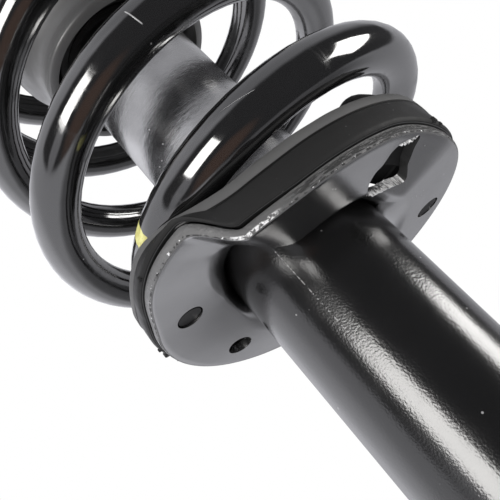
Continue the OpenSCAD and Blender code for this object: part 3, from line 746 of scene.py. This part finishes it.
def coil():
    """Round wire along its path, with a small bevel at both ends."""
    rings = math.ceil((WIRE_END - WIRE_START) / 360 * RINGS_PER_TURN)
    points, uvs = [], []

    def ring(a, radius, forward=0.0):
        p = wire_point(a)
        f = (wire_point(a + 0.5) - wire_point(a - 0.5)).normalized()
        out = Vector((cos(a), sin(a), 0))
        n = (out - f * out.dot(f)).normalized()
        b = f.cross(n)
        for j in range(WIRE_SIDES):
            w = 360 * j / WIRE_SIDES
            points.append(tuple(p + f * forward + radius * (cos(w) * n + sin(w) * b)))
            uvs.append((w / 360, wire_turn(a)))

    ring(WIRE_START, WIRE_R * 0.5)
    ring(WIRE_START, WIRE_R - WIRE_BEVEL)
    for i in range(rings + 1):
        a = WIRE_START + (WIRE_END - WIRE_START) * i / rings
        ring(a, WIRE_R, WIRE_BEVEL if i == 0 else -WIRE_BEVEL if i == rings else 0.0)
    ring(WIRE_END, WIRE_R - WIRE_BEVEL)
    ring(WIRE_END, WIRE_R * 0.5)
    faces = capped_faces(len(points) // WIRE_SIDES, WIRE_SIDES)
    return new_mesh("coil_spring_wire", points, faces, 50, uvs)


spring = placed(coil(), "strut_body", "spring_enamel", "coil_spring")
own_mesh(spring)

# ---- lower spring seat ----

ANGLES = range(-180, 180)
DRAINS = [(-147, SEAT_R - 11), (162, SEAT_R - 11.5), (30, SEAT_R - 8.7)]
WINDOW = [
    (24, -20.8), (26.1, -26.3), (28.9, -29.2), (31.3, -29.6), (32.9, -30.5), (35.2, -32),
    (38, -32.1), (40, -31.1), (42, -29.8), (43.1, -28.9), (43, -27.6), (41, -25.6),
    (39, -22.7), (37.5, -20.6), (36.4, -17.5), (35.4, -15.3), (33.9, -14.7), (32.3, -15.6),
    (29.8, -17.1), (27.2, -17.5), (25, -18.7),
]
WINDOW_X, WINDOW_Y = 33.5, -24.0
TORN_R, TORN_Y = 37.5, -22.0  # the window's edge is torn inside this radius and above this Y
WIDE_FOLD, WIDE_AT, WIDE_HALF = 9.0, -112, 36
SHORT_FOLD, SHORT_AT, SHORT_HALF = 4.6, -172, 45
FOLD_SHAPE = 4 / 3
PAN_STEPS, FOLD_STEPS = 14, 10
EDGE, FOLD_GAP = 0.5, 0.4
RIM_FACES = 7
BURR_SHEET, BURR_DOWN = 0.4, 0.2


def hump(t, middle, half):
    """1 in the middle direction, and 0 from half on either side of it."""
    away = abs((t - middle + 180) % 360 - 180)
    return 0.5 + 0.5 * cos(180 * clamp(away / half))


def fold_reach(t):
    """How far the fold up to the collar reaches out: wide beside the step, short behind it."""
    wide, short = hump(t, WIDE_AT, WIDE_HALF), hump(t, SHORT_AT, SHORT_HALF)
    return BEND_R + WIDE_FOLD * wide - SHORT_FOLD * short


def fold(w, reach, rise):
    """Point of the fold, from its foot: in towards the collar and up."""
    return reach * sin(w) ** FOLD_SHAPE, rise * (1 - cos(w) ** FOLD_SHAPE)


def pan_section(t):
    """The pan's underside from the rim in, the fold, the collar, back out on top, and the rim."""
    z, r = seat_level(t), seat_outline(t)
    reach, thick = fold_reach(t), seat_upright(t)
    foot = COLLAR_R + reach
    low = pan_level(t, foot)
    top = seat_level(t, INNER_SWEEP) + COLLAR_HEIGHT
    row = []
    for k in range(PAN_STEPS + 1):
        radius = mix(r - 0.7, foot + FOLD_GAP, k / PAN_STEPS)
        row.append((radius, pan_level(t, radius)))
    for k in range(1, FOLD_STEPS + 1):
        inward, up = fold(90 * k / FOLD_STEPS, reach, BEND_R)
        row.append((foot - inward, low + up))
    row += [
        (COLLAR_R, top - EDGE), (COLLAR_R + EDGE, top),
        (COLLAR_R + SEAT_SHEET - EDGE, top), (COLLAR_R + SEAT_SHEET, top - EDGE),
    ]
    for k in range(FOLD_STEPS, 0, -1):
        inward, up = fold(90 * k / FOLD_STEPS, reach - SEAT_SHEET, BEND_R - SEAT_SHEET)
        row.append((foot - inward, low + thick + up))
    for k in range(PAN_STEPS, -1, -1):
        radius = mix(r - EDGE, foot + FOLD_GAP, k / PAN_STEPS)
        row.append((radius, pan_level(t, radius) + thick))
    wave = 0.12 * sin(3 * t + 40) + 0.08 * sin(11 * t) + 0.05 * sin(29 * t + 10)
    row += [
        (r - 0.1, z + thick - 0.15), (r, z + thick - EDGE), (r + 0.1 * wave, z + 1.6 + wave),
        (r - 0.12, z + 1.2 + wave), (r - 0.1, z + 0.7), (r - 0.3, z + 0.2),
    ]
    return row


def ragged(outline):
    """The window's outline, smoothed, and uneven along its inner side, where the sheet tore."""
    loop = curved(outline + outline[:1], 5)[:-1]
    result = []
    for k, (x, y) in enumerate(loop):
        inner = smooth((TORN_R - math.hypot(x, y)) / 2) * smooth((y - TORN_Y) / 2)
        tear = 0.5 * sin(97 * k) * (0.4 + 0.6 * sin(41 * k)) + 0.25 * sin(151 * k)
        out = Vector((x - WINDOW_X, y - WINDOW_Y)).normalized()
        result.append(tuple(Vector((x, y)) + out * tear * inner))
    return result


def burr(name, start, end, drop, teeth, lean):
    """Ragged strip of torn sheet that stands off an edge of the window."""
    start, end = Vector(start), Vector(end)
    along = (end - start).normalized()
    side = Vector((-along.y, along.x)) * lean
    points = []
    for k in range(teeth + 1):
        u = k / teeth
        x, y = q = start.lerp(end, u)
        tooth = 0.45 + 0.55 * abs(sin(113 * k + 20))
        reach = drop * tooth * math.sqrt(max(0.05, sin(180 * u)))
        z = pan_level(math.degrees(math.atan2(y, x)), q.length) + SEAT_SHEET
        tip_x, tip_y, tip_z = x + side.x * reach, y + side.y * reach, z - SEAT_SHEET - 0.3 * reach
        back_x, back_y = side.x * BURR_SHEET, side.y * BURR_SHEET
        points += [(x, y, z - BURR_DOWN), (x - back_x, y - back_y, z - BURR_DOWN)]
        points += [(tip_x - back_x, tip_y - back_y, tip_z), (tip_x, tip_y, tip_z)]
    faces = grid_faces(teeth + 1, 4, False, True)
    faces += [(0, 1, 2, 3), tuple(4 * teeth + k for k in (3, 2, 1, 0))]
    return new_mesh(name, points, faces, 20)


pan = band("lower_seat_pan", ANGLES, pan_section, SHARP)
pan.data.materials.append(FINISHES["seat_coat"])
pan.data.materials.append(SEAT_RIM)
pan_points = len(pan_section(0))
for face in pan.data.polygons:
    face.material_index = int(face.index % pan_points >= pan_points - RIM_FACES)
cutters = [
    prism(f"drain_{k}", disc(DRAIN_R, spot(*drain)), -SEAT_LOW - 3, 6)
    for k, drain in enumerate(DRAINS)
]
window = prism("window_cut", ragged(WINDOW), -SEAT_LOW - 3, -SEAT_LOW + 11)
window.data.materials.append(TORN_STEEL)
window.data.materials.append(SHEARED_EDGE)
for face in window.data.polygons:
    x, y = face.center.x / MM, face.center.y / MM
    face.material_index = 0 if math.hypot(x, y) < TORN_R and y > TORN_Y else 1
cutters.append(window)
combine(pan, cutters, "DIFFERENCE")
torn = [
    burr("burr_tip", (37.6, -32.2), (42.9, -29.3), 1.3, 14, 1),
    burr("burr_side", (25.2, -18.9), (31.8, -16.0), 1.6, 16, -1),
]
for strip in torn:
    strip.data.materials.append(TORN_STEEL)
combine(pan, torn, "UNION")
placed(pan, "strut_body", "seat_coat", "spring_seat")

# ---- lower pad ----

LIP_TOP, LIP_LOW, LIP_OVER_WIRE = WIRE_LEAVE + 0.5, WIRE_LEAVE - 1.4, 2.6
BACK_RISE, BACK_RISE_SWEEP = -125.0, 40.0
FRONT_DROP, FRONT_DROP_SWEEP = -120.0, 34.0
STOP_RISE_SWEEP = 12.0
GROOVE_EASE, GROOVE_EASE_SWEEP, GROOVE_DROP_SWEEP = -90.0, 45.0, 18.0
GROOVE_IN_FRONT = FRONT_LIP - 1.5 + WIRE_R
GROOVE_END, GROOVE_LIMIT, GROOVE_STEPS = -150.0, -0.97, 18
PAD_OVERHANG, RIDGE, CLEARANCE, CLEAR_SHAPE = 1.2, 0.9, 0.5, 1.3
WEB_R, WEB_HEIGHT, WEB_FOOT, PAD_STEP_R, UNDER_STEPS = 30.6, 4.3, 1.4, 40.0, 8
STOP_BEVEL = 0.6


def high_lip(t):
    """The lip where the wire lies high, which drops with the wire behind the step."""
    peak = min(LIP_TOP, wire_z(t) + LIP_OVER_WIRE)
    return mix(LIP_LOW, peak, smooth((BACK_RISE - t) / BACK_RISE_SWEEP))


def pad_lip(t):
    if t < STOP_TO:
        return mix(high_lip(t), FRONT_LIP, smooth((t - FRONT_DROP) / FRONT_DROP_SWEEP))
    peak = min(wire_z(t - 360) + LIP_OVER_WIRE, LIP_TOP)
    return mix(FRONT_LIP, peak, smooth((t - STOP_TO) / STOP_RISE_SWEEP))


def groove_r(t):
    if t > STOP_TO:
        return wire_radius(t - 360)
    if t < STEP_START:
        return wire_radius(t)
    floor = min(END_COIL_R + WIRE_R, wire_radius(t))
    return mix(floor, END_COIL_R, smooth((t - GROOVE_EASE) / GROOVE_EASE_SWEEP))


def groove_z(t):
    if t > STOP_TO:
        return wire_z(t - 360)
    if t < STEP_START:
        return wire_z(t)
    return mix(wire_z(t), GROOVE_IN_FRONT, smooth((t - STEP_START) / GROOVE_DROP_SWEEP))


def pad_section(t):
    """The pad's wall and lip, the wire's groove, the inner web, and the underside."""
    away = abs(t - STEP_START - STEP_SWEEP / 2)
    clear = CLEARANCE * smooth(CLEAR_SHAPE - away / INNER_SWEEP * CLEAR_SHAPE)
    rise = seat_upright(t) + SOFT_FIT + clear
    lip, outer = pad_lip(t), seat_outline(t) + PAD_OVERHANG
    top_r = SEAT_R + PAD_OVERHANG + 0.6 * lobe(t)
    g, gr, gz = WIRE_R + PAD_FIT, groove_r(t), groove_z(t)
    start = math.degrees(math.asin(max(GROOVE_LIMIT, min(0, (lip - gz) / g))))
    base = seat_level(t) + rise
    flash = 0.10 * sin(13 * t) + 0.08 * sin(31 * t + 50)
    row = [
        (outer - 0.5, base), (outer, base + 0.5), (outer + 0.15, base + 1.2),
        (mix(outer, top_r, 0.30) + 0.1, mix(base, lip, 0.40)),
        (mix(outer, top_r, 0.62), mix(base, lip, 0.62)),
        (mix(outer, top_r, 0.80) - 0.1, lip - 3.3),
        (mix(outer, top_r, 0.83) + 0.25, lip - 2.7),
        (top_r + 0.15, lip - 0.7), (top_r - 0.05, lip - 0.15 + flash * 0.5),
        (top_r - 0.4, lip + flash),
        (min(top_r - RIDGE, gr + g * cos(start)) + 0.1, lip),
    ]
    for k in range(GROOVE_STEPS + 1):
        w = mix(start, GROOVE_END, k / GROOVE_STEPS)
        r = min(top_r - RIDGE, gr + g * cos(w))
        row.append((r, max(pan_level(t, r) + rise + 0.3, gz + g * sin(w))))
    r_in, top = gr + g * cos(GROOVE_END), gz + g * sin(GROOVE_END)
    web_r = min(max(WEB_R, COLLAR_R + fold_reach(t) - 2), r_in - 3.4)
    web_top = min(pan_level(t, web_r) + rise + WEB_HEIGHT, top - 0.3)
    web_low = web_top - WEB_FOOT
    step = max(PAD_STEP_R, r_in - 1.0, web_r + 3)
    under = pan_level(t, step) + rise
    row += [
        (r_in - 1.2, top), (r_in - 2.2, top - 0.2), (r_in - 2.6, web_top),
        (web_r + 0.4, web_top), (web_r, web_top - 0.4), (web_r, web_top - 1.1),
        (web_r + 0.3, web_low), (step - 1.2, web_low),
        (step - 0.5, mix(web_low, under, 0.35)), (step, under),
    ]
    for k in range(1, UNDER_STEPS):
        r = mix(step, outer - 0.5, k / UNDER_STEPS)
        row.append((r, pan_level(t, r) + rise))
    return row


def pad():
    """The pad without its additions; two extra sections stand close on either side of the stop."""
    angles = [t for t in ANGLES if abs(t - STOP_TO) > 0.9]
    angles = sorted(angles + [STOP_TO - 0.6, STOP_TO + 0.1])
    return band("lower_pad_rubber", angles, pad_section, 34)


lower = pad()
lower.data.materials.append(FINISHES["pad_rubber"])


def sausage():
    """Rubber stop for the wire's end, with a round nose."""
    z, steps, nose, sides = FRONT_LIP + STOP_OVER - STOP_R, 14, 8, 28
    rows = []
    for k in range(1, nose + 1):
        w = 90 * k / nose
        rows.append((STOP_FROM - math.degrees(STOP_R * cos(w) / END_COIL_R), STOP_R * sin(w)))
    for k in range(1, steps):
        rows.append((mix(STOP_FROM, STOP_TO, k / steps), STOP_R))
    rows += [(STOP_TO - STOP_BEVEL, STOP_R), (STOP_TO, STOP_R - STOP_BEVEL)]
    points = []
    for a, radius in rows:
        for j in range(sides):
            w = 360 * j / sides
            r = END_COIL_R + radius * cos(w)
            points.append((r * cos(a), r * sin(a), z + radius * sin(w)))
    return new_mesh("stop_form", points, capped_faces(len(rows), sides))


# small tags of moulding flash on the pad's outer edge: direction and radius
FLASH_NIBS = [(-169, 1.1), (-163, 0.7), (-177, 0.8), (-24, 1.0), (-20, 0.6), (-120, 0.7)]
PEG_GAP, PEG_LOW, PEG_OVER = 0.45, 0.25, 1.2
HOLLOW_WIDER, HOLLOW_UP = 1.5, 3.2
NIB_IN, NIB_LOW, NIB_HEIGHT = 1.1, 0.4, 1.4
additions = [sausage()]
for k in (0, 2):
    low = seat_level(DRAINS[k][0]) + PEG_LOW
    peg = disc(DRAIN_R - PEG_GAP, spot(*DRAINS[k]), 32)
    additions.append(prism(f"peg_{k}", peg, low, low + SEAT_SHEET + PEG_OVER))
for direction, size in FLASH_NIBS:
    low = seat_level(direction) + SEAT_SHEET + NIB_LOW
    nib = disc(size, spot(direction, seat_outline(direction) + NIB_IN), 7)
    additions.append(prism(f"nib_{direction}", nib, low, low + NIB_HEIGHT * size))
combine(lower, additions, "UNION")
low = seat_level(DRAINS[1][0])
hollow = disc(DRAIN_R + HOLLOW_WIDER, spot(*DRAINS[1]), 32)
combine(lower, [prism("hollow", hollow, low - 1, low + SEAT_SHEET + HOLLOW_UP)], "DIFFERENCE")
placed(lower, "strut_body", "pad_rubber", "lower_pad")

# ---- tube ----

ROLLED_IN, ROLLED_SHEET, ROLLED_BEND = 5.0, 2.0, 1.5
CLAMP_TOP = CLAMP_LOW + CLAMP_LENGTH
tube_outline = [
    (TUBE_BORE_R, CLAMP_LOW), (CLAMP_R, CLAMP_LOW), (CLAMP_R, CLAMP_TOP),
    (TUBE_R, CLAMP_TOP + EDGE), (TUBE_R, SHOULDER), (NECK_R, SHOULDER + TAPER),
    (NECK_R, TUBE_ABOVE - ROLLED_BEND), (NECK_R - ROLLED_BEND, TUBE_ABOVE),
    (ROD_R + ROLLED_IN, TUBE_ABOVE), (ROD_R + ROLLED_IN, TUBE_ABOVE - ROLLED_SHEET),
    (NECK_BORE_R, TUBE_ABOVE - ROLLED_SHEET), (NECK_BORE_R, SHOULDER + TAPER),
    (TUBE_BORE_R, SHOULDER),
]
tube = placed(
    turned("reservoir_tube_shell", rounded(tube_outline, 0.6), 192, 30),
    "strut_body", "tube_paint", "reservoir_tube",
)
tube.data.materials.append(NECK_PAINT)
for face in tube.data.polygons:
    if face.center.z / MM - DATUM > SHOULDER + EDGE:
        face.material_index = 1

# ---- dust boot ----

NECK = MOUTH_R - BOOT_WALL + 0.5
FLARE_Z = MOUTH_Z + 42
BOOT_EYE_R = BOOT_R - 11
BOOT_TOP = 8.0  # plain length above the folds
FOLD_PITCH = (UPPER_SEAT_Z - BOOT_TOP - FLARE_Z) / BOOT_FOLDS
FOLD_DEPTH, FOLD_CREST, POINTS_PER_FOLD = 4.0, 0.7, 12
LOOSE_FROM, LOOSE_LENGTH = 20.0, 110.0


def boot_outline():
    lower_part = curved(
        [
            (MOUTH_R - 0.1, MOUTH_Z + 1.0), (MOUTH_R, MOUTH_Z + 2.4), (NECK + 0.9, MOUTH_Z + 4.6),
            (NECK, MOUTH_Z + 8), (NECK + 0.6, MOUTH_Z + 14), (NECK + 6, MOUTH_Z + 26),
            (BOOT_R - 1.5, FLARE_Z - 4), (BOOT_R, FLARE_Z),
        ],
        5,
    )
    folds = []
    for i in range(BOOT_FOLDS):
        for k in range(POINTS_PER_FOLD):
            u = k / POINTS_PER_FOLD
            r = BOOT_R - FOLD_DEPTH + FOLD_DEPTH * abs(cos(180 * u)) ** FOLD_CREST
            folds.append((r, FLARE_Z + FOLD_PITCH * (i + u)))
    top = [(BOOT_R, UPPER_SEAT_Z - BOOT_TOP), (BOOT_R, UPPER_SEAT_Z)]
    outside = lower_part[:-1] + folds + top
    inside = [(r - BOOT_WALL, z) for r, z in reversed(outside[:-2]) if z > MOUTH_Z + 3]
    inner_r, inner_top = MOUTH_R - BOOT_WALL, UPPER_SEAT_Z - BOOT_WALL
    eye = [(BOOT_EYE_R, UPPER_SEAT_Z), (BOOT_EYE_R, inner_top), (BOOT_R - BOOT_WALL, inner_top)]
    mouth = [(inner_r - 1.5, MOUTH_Z + 1.6), (inner_r - 1.4, MOUTH_Z)]
    return [(MOUTH_R - 1, MOUTH_Z)] + outside + eye + inside + mouth


def boot_wobble(t, r, z):
    """The boot's loose form, which grows towards its open mouth."""
    loose = clamp((UPPER_SEAT_Z - LOOSE_FROM - z) / LOOSE_LENGTH)
    return (loose * (0.35 * sin(2 * t + 30) + 0.15 * sin(5 * t)), 0.0)


placed(
    turned("dust_boot_bellows", boot_outline(), 180, 60, boot_wobble),
    "spring_top", "boot_rubber", "dust_boot",
)

# ---- upper race of the bearing ----

BALL_R, RACE_HEIGHT, RACE_HALF, RUN_FIT = 3.0, 6.0, 8.0, 0.06
STUD_CIRCLE_R, STUD_HEAD_R, HEAD_GAP, GROOVE_POINTS = 65.0, 7.0, 0.5, 17
RACE_R = STUD_CIRCLE_R - STUD_HEAD_R - HEAD_GAP - RACE_HALF
RACE_Z = UPPER_SEAT_Z + UPPER_SHEET + RACE_HEIGHT + BALL_R
groove = []
for k in range(GROOVE_POINTS):
    w = mix(30, 150, k / (GROOVE_POINTS - 1))
    run_r = BALL_R + RUN_FIT
    groove.append((RACE_R + run_r * cos(w), RACE_Z - BALL_R / 2 + run_r * sin(w)))
race_outline = groove + [
    (RACE_R - RACE_HALF, RACE_Z), (RACE_R - RACE_HALF, RACE_Z + RACE_HEIGHT),
    (RACE_R + RACE_HALF, RACE_Z + RACE_HEIGHT), (RACE_R + RACE_HALF, RACE_Z),
]
placed(
    turned("bearing_upper_race_ring", race_outline, 360, 30), "top_mount", "race_plastic",
    "bearing_upper_race",
)

# ---- upper pad and bump stop ----

UPPER_SKIRT, UPPER_EYE = 4.0, 2.0
skirt_r = COIL_R + WIRE_R + 0.5
edge_r = UPPER_SEAT_R - UPPER_SHEET - SOFT_FIT
eye_r = COIL_R - WIRE_R - UPPER_EYE
upper_outline = rounded(
    [
        (eye_r, UPPER_PAD_Z), (skirt_r, UPPER_PAD_Z), (skirt_r, UPPER_PAD_Z - UPPER_SKIRT),
        (edge_r, UPPER_PAD_Z - UPPER_SKIRT), (edge_r, UPPER_SEAT_Z), (eye_r, UPPER_SEAT_Z),
    ],
    0.7,
)
placed(turned("upper_pad_rubber", upper_outline, 160, 50), "spring_top", "pad_rubber", "upper_pad")

third = BUMP_LENGTH / 3
bump_side = curved(
    [
        (ROD_R + 5.5, BUMP_LOW), (BUMP_R - 6.5, BUMP_LOW + 3),
        (BUMP_R - 5, BUMP_LOW + third * 0.5), (BUMP_R - 5.4, BUMP_LOW + third * 0.75),
        (BUMP_R - 8, BUMP_LOW + third),
        (BUMP_R - 3, BUMP_LOW + third * 1.3), (BUMP_R - 2.2, BUMP_LOW + third * 1.55),
        (BUMP_R - 3, BUMP_LOW + third * 1.8), (BUMP_R - 6, BUMP_LOW + third * 2),
        (BUMP_R - 0.6, BUMP_LOW + third * 2.35), (BUMP_R, BUMP_LOW + third * 2.6),
        (BUMP_R, BUMP_LOW + BUMP_LENGTH),
    ],
    6,
)
bump_bore = [(ROD_R + 0.5, BUMP_LOW), (ROD_R + 0.5, BUMP_LOW + BUMP_LENGTH)]
bump = turned("bump_stop_foam", bump_bore[:1] + bump_side + bump_bore[1:], 120, 50)
placed(bump, "top_mount", "foam_buffer", "bump_stop")

# ---- camera, floor and light ----

# found from the photograph: the camera's direction and roll, distance, the point in the middle of
# the picture, and the focal length for a film 36 mm wide
CAMERA_AZ, CAMERA_EL, CAMERA_ROLL = 9.04, -22.77, -41.42
CAMERA_FAR, CAMERA_LENS, FILM = 294.63, 38.35, 36.0
CAMERA_AIM = Vector((-29.99, 107.44, 48.1 + DATUM))
FLOOR_R, FLOOR_Z, FLOOR_SIDES = 0.52, -0.0436, 120
ROOM_SIDE = (0.588, -0.809, -0.05)
ROOM_COLOUR, TABLE_BROWN = (0.080, 0.080, 0.086, 1), (0.27, 0.175, 0.14, 1)
GREY_CARD, CAMERA_WHITE = (0.7, 0.7, 0.74, 1), (1, 1, 1, 1)
STUDIO_TINT = (0.975, 0.975, 1.03)
# places in the surroundings: azimuth, elevation, and the cosines at their edge and at their core
BROWN_AT, GREY_CARD_AT = (-112, -64, 0.89, 0.985), (-134, -20, 0.955, 0.985)
# the same, and the share of the white that is left there
SHADES = [
    (82, -5, 0.50, 0.80, 0.65), (-15, 48, 0.55, 0.85, 0.62), (150, 12, 0.70, 0.92, 1.5),
    (105, -34, 0.90, 0.975, 1.2), (78, -62, 0.72, 0.90, 0.35),
]
LAMP_COLOUR = (1.0, 0.985, 0.965)
# lamps: azimuth, elevation, distance, width, height, watts and the point that they face
LAMPS = {
    "softbox_left": (-110.5, -10, 2.4, 1.13, 1.44, 47, (-0.010, -0.050, 0.220)),
    "softbox_right": (7, -10, 1.4, 0.60, 0.80, 14.5, (0.030, -0.035, 0.195)),
}


def compass(azimuth, elevation):
    """Unit vector towards a direction, with azimuth 0 at +X and elevation up."""
    return Vector((
        cos(azimuth) * cos(elevation), sin(azimuth) * cos(elevation), sin(elevation)
    ))


def camera():
    back = Vector((
        sin(CAMERA_AZ) * cos(CAMERA_EL), -cos(CAMERA_AZ) * cos(CAMERA_EL), sin(CAMERA_EL)
    ))
    level = Vector((0, 0, 1)).cross(back).normalized()
    rise = back.cross(level)
    right = level * cos(CAMERA_ROLL) + rise * sin(CAMERA_ROLL)
    up = rise * cos(CAMERA_ROLL) - level * sin(CAMERA_ROLL)
    place = Matrix((right, up, back)).transposed().to_4x4()
    place.translation = (CAMERA_AIM + back * CAMERA_FAR) * MM
    lens = bpy.data.cameras.new("camera")
    lens.lens, lens.sensor_width, lens.clip_start = CAMERA_LENS, FILM, 0.005
    obj = linked("camera", lens)
    obj.matrix_world = place
    bpy.context.scene.camera = obj


def floor():
    """Pale round floor just under the strut, which reflections leave out."""
    angles = [360 * k / FLOOR_SIDES for k in range(FLOOR_SIDES)]
    points = [(0, 0, FLOOR_Z)] + [(FLOOR_R * cos(a), FLOOR_R * sin(a), FLOOR_Z) for a in angles]
    mesh = bpy.data.meshes.new("floor")
    mesh.from_pydata(
        points, [], [(0, 1 + k, 1 + (k + 1) % FLOOR_SIDES) for k in range(FLOOR_SIDES)]
    )
    s = Shade("floor")
    s.set("Base Color", s.greys(s.noise(6, 2), 0.80, 0.84))
    s.set("Roughness", s.spread(s.noise(30, 3), 0.55, 0.7))
    mesh.materials.append(s.material)
    obj = linked("floor", mesh)
    obj.visible_glossy = False


def softbox(name, azimuth, elevation, distance, width, height, power, aim):
    """Rectangular soft lamp that faces the given point."""
    direction = compass(azimuth, elevation)
    data = bpy.data.lights.new(name, "AREA")
    data.shape, data.size, data.size_y, data.energy = "RECTANGLE", width, height, power
    data.color = LAMP_COLOUR
    linked(name, data).matrix_world = Matrix.Translation(Vector(aim) + direction * distance) @ (
        direction.to_track_quat("Z", "Y").to_matrix().to_4x4()
    )


def surroundings():
    """White all round with a few darker and lighter places, and a dark room on one side.

    A brown table and a grey card stand in the room. The camera itself sees plain white.
    """
    world = bpy.data.worlds.new("studio")
    bpy.context.scene.world = world
    world.use_nodes = True
    w = Nodes(world.node_tree)
    w.tree.nodes.clear()
    place = w.node("ShaderNodeTexCoord").outputs["Generated"]

    def facing(aim):
        inputs = {0: place, 1: aim}
        return w.node("ShaderNodeVectorMath", inputs, operation="DOT_PRODUCT").outputs["Value"]

    def near(azimuth, elevation, edge, core, inside=1.0, outside=0.0):
        return w.ramp(facing(compass(azimuth, elevation)), edge, core, outside, inside)

    level = 1.0
    for shade in SHADES:
        level = w.times(level, near(*shade, outside=1.0))
    tinted = {0: STUDIO_TINT, "Scale": level}
    white = w.node("ShaderNodeVectorMath", tinted, operation="SCALE").outputs[0]
    room = w.times(w.ramp(facing(ROOM_SIDE), -0.08, 0.0), w.ramp(w.part(place, "Z"), 0.62, 0.38))
    inside = w.colour(near(*BROWN_AT), ROOM_COLOUR, TABLE_BROWN)
    inside = w.colour(near(*GREY_CARD_AT), inside, GREY_CARD)
    seen = w.node("ShaderNodeLightPath").outputs["Is Camera Ray"]
    colour = w.colour(seen, w.colour(room, white, inside), CAMERA_WHITE)
    light = w.node("ShaderNodeBackground", {"Color": colour, "Strength": 1.0})
    w.node("ShaderNodeOutputWorld", {"Surface": light.outputs[0]})


camera()
floor()
surroundings()
for name, lamp in LAMPS.items():
    softbox(name, *lamp)
bpy.context.scene.view_settings.view_transform = "Standard"

bpy.context.view_layer.update()
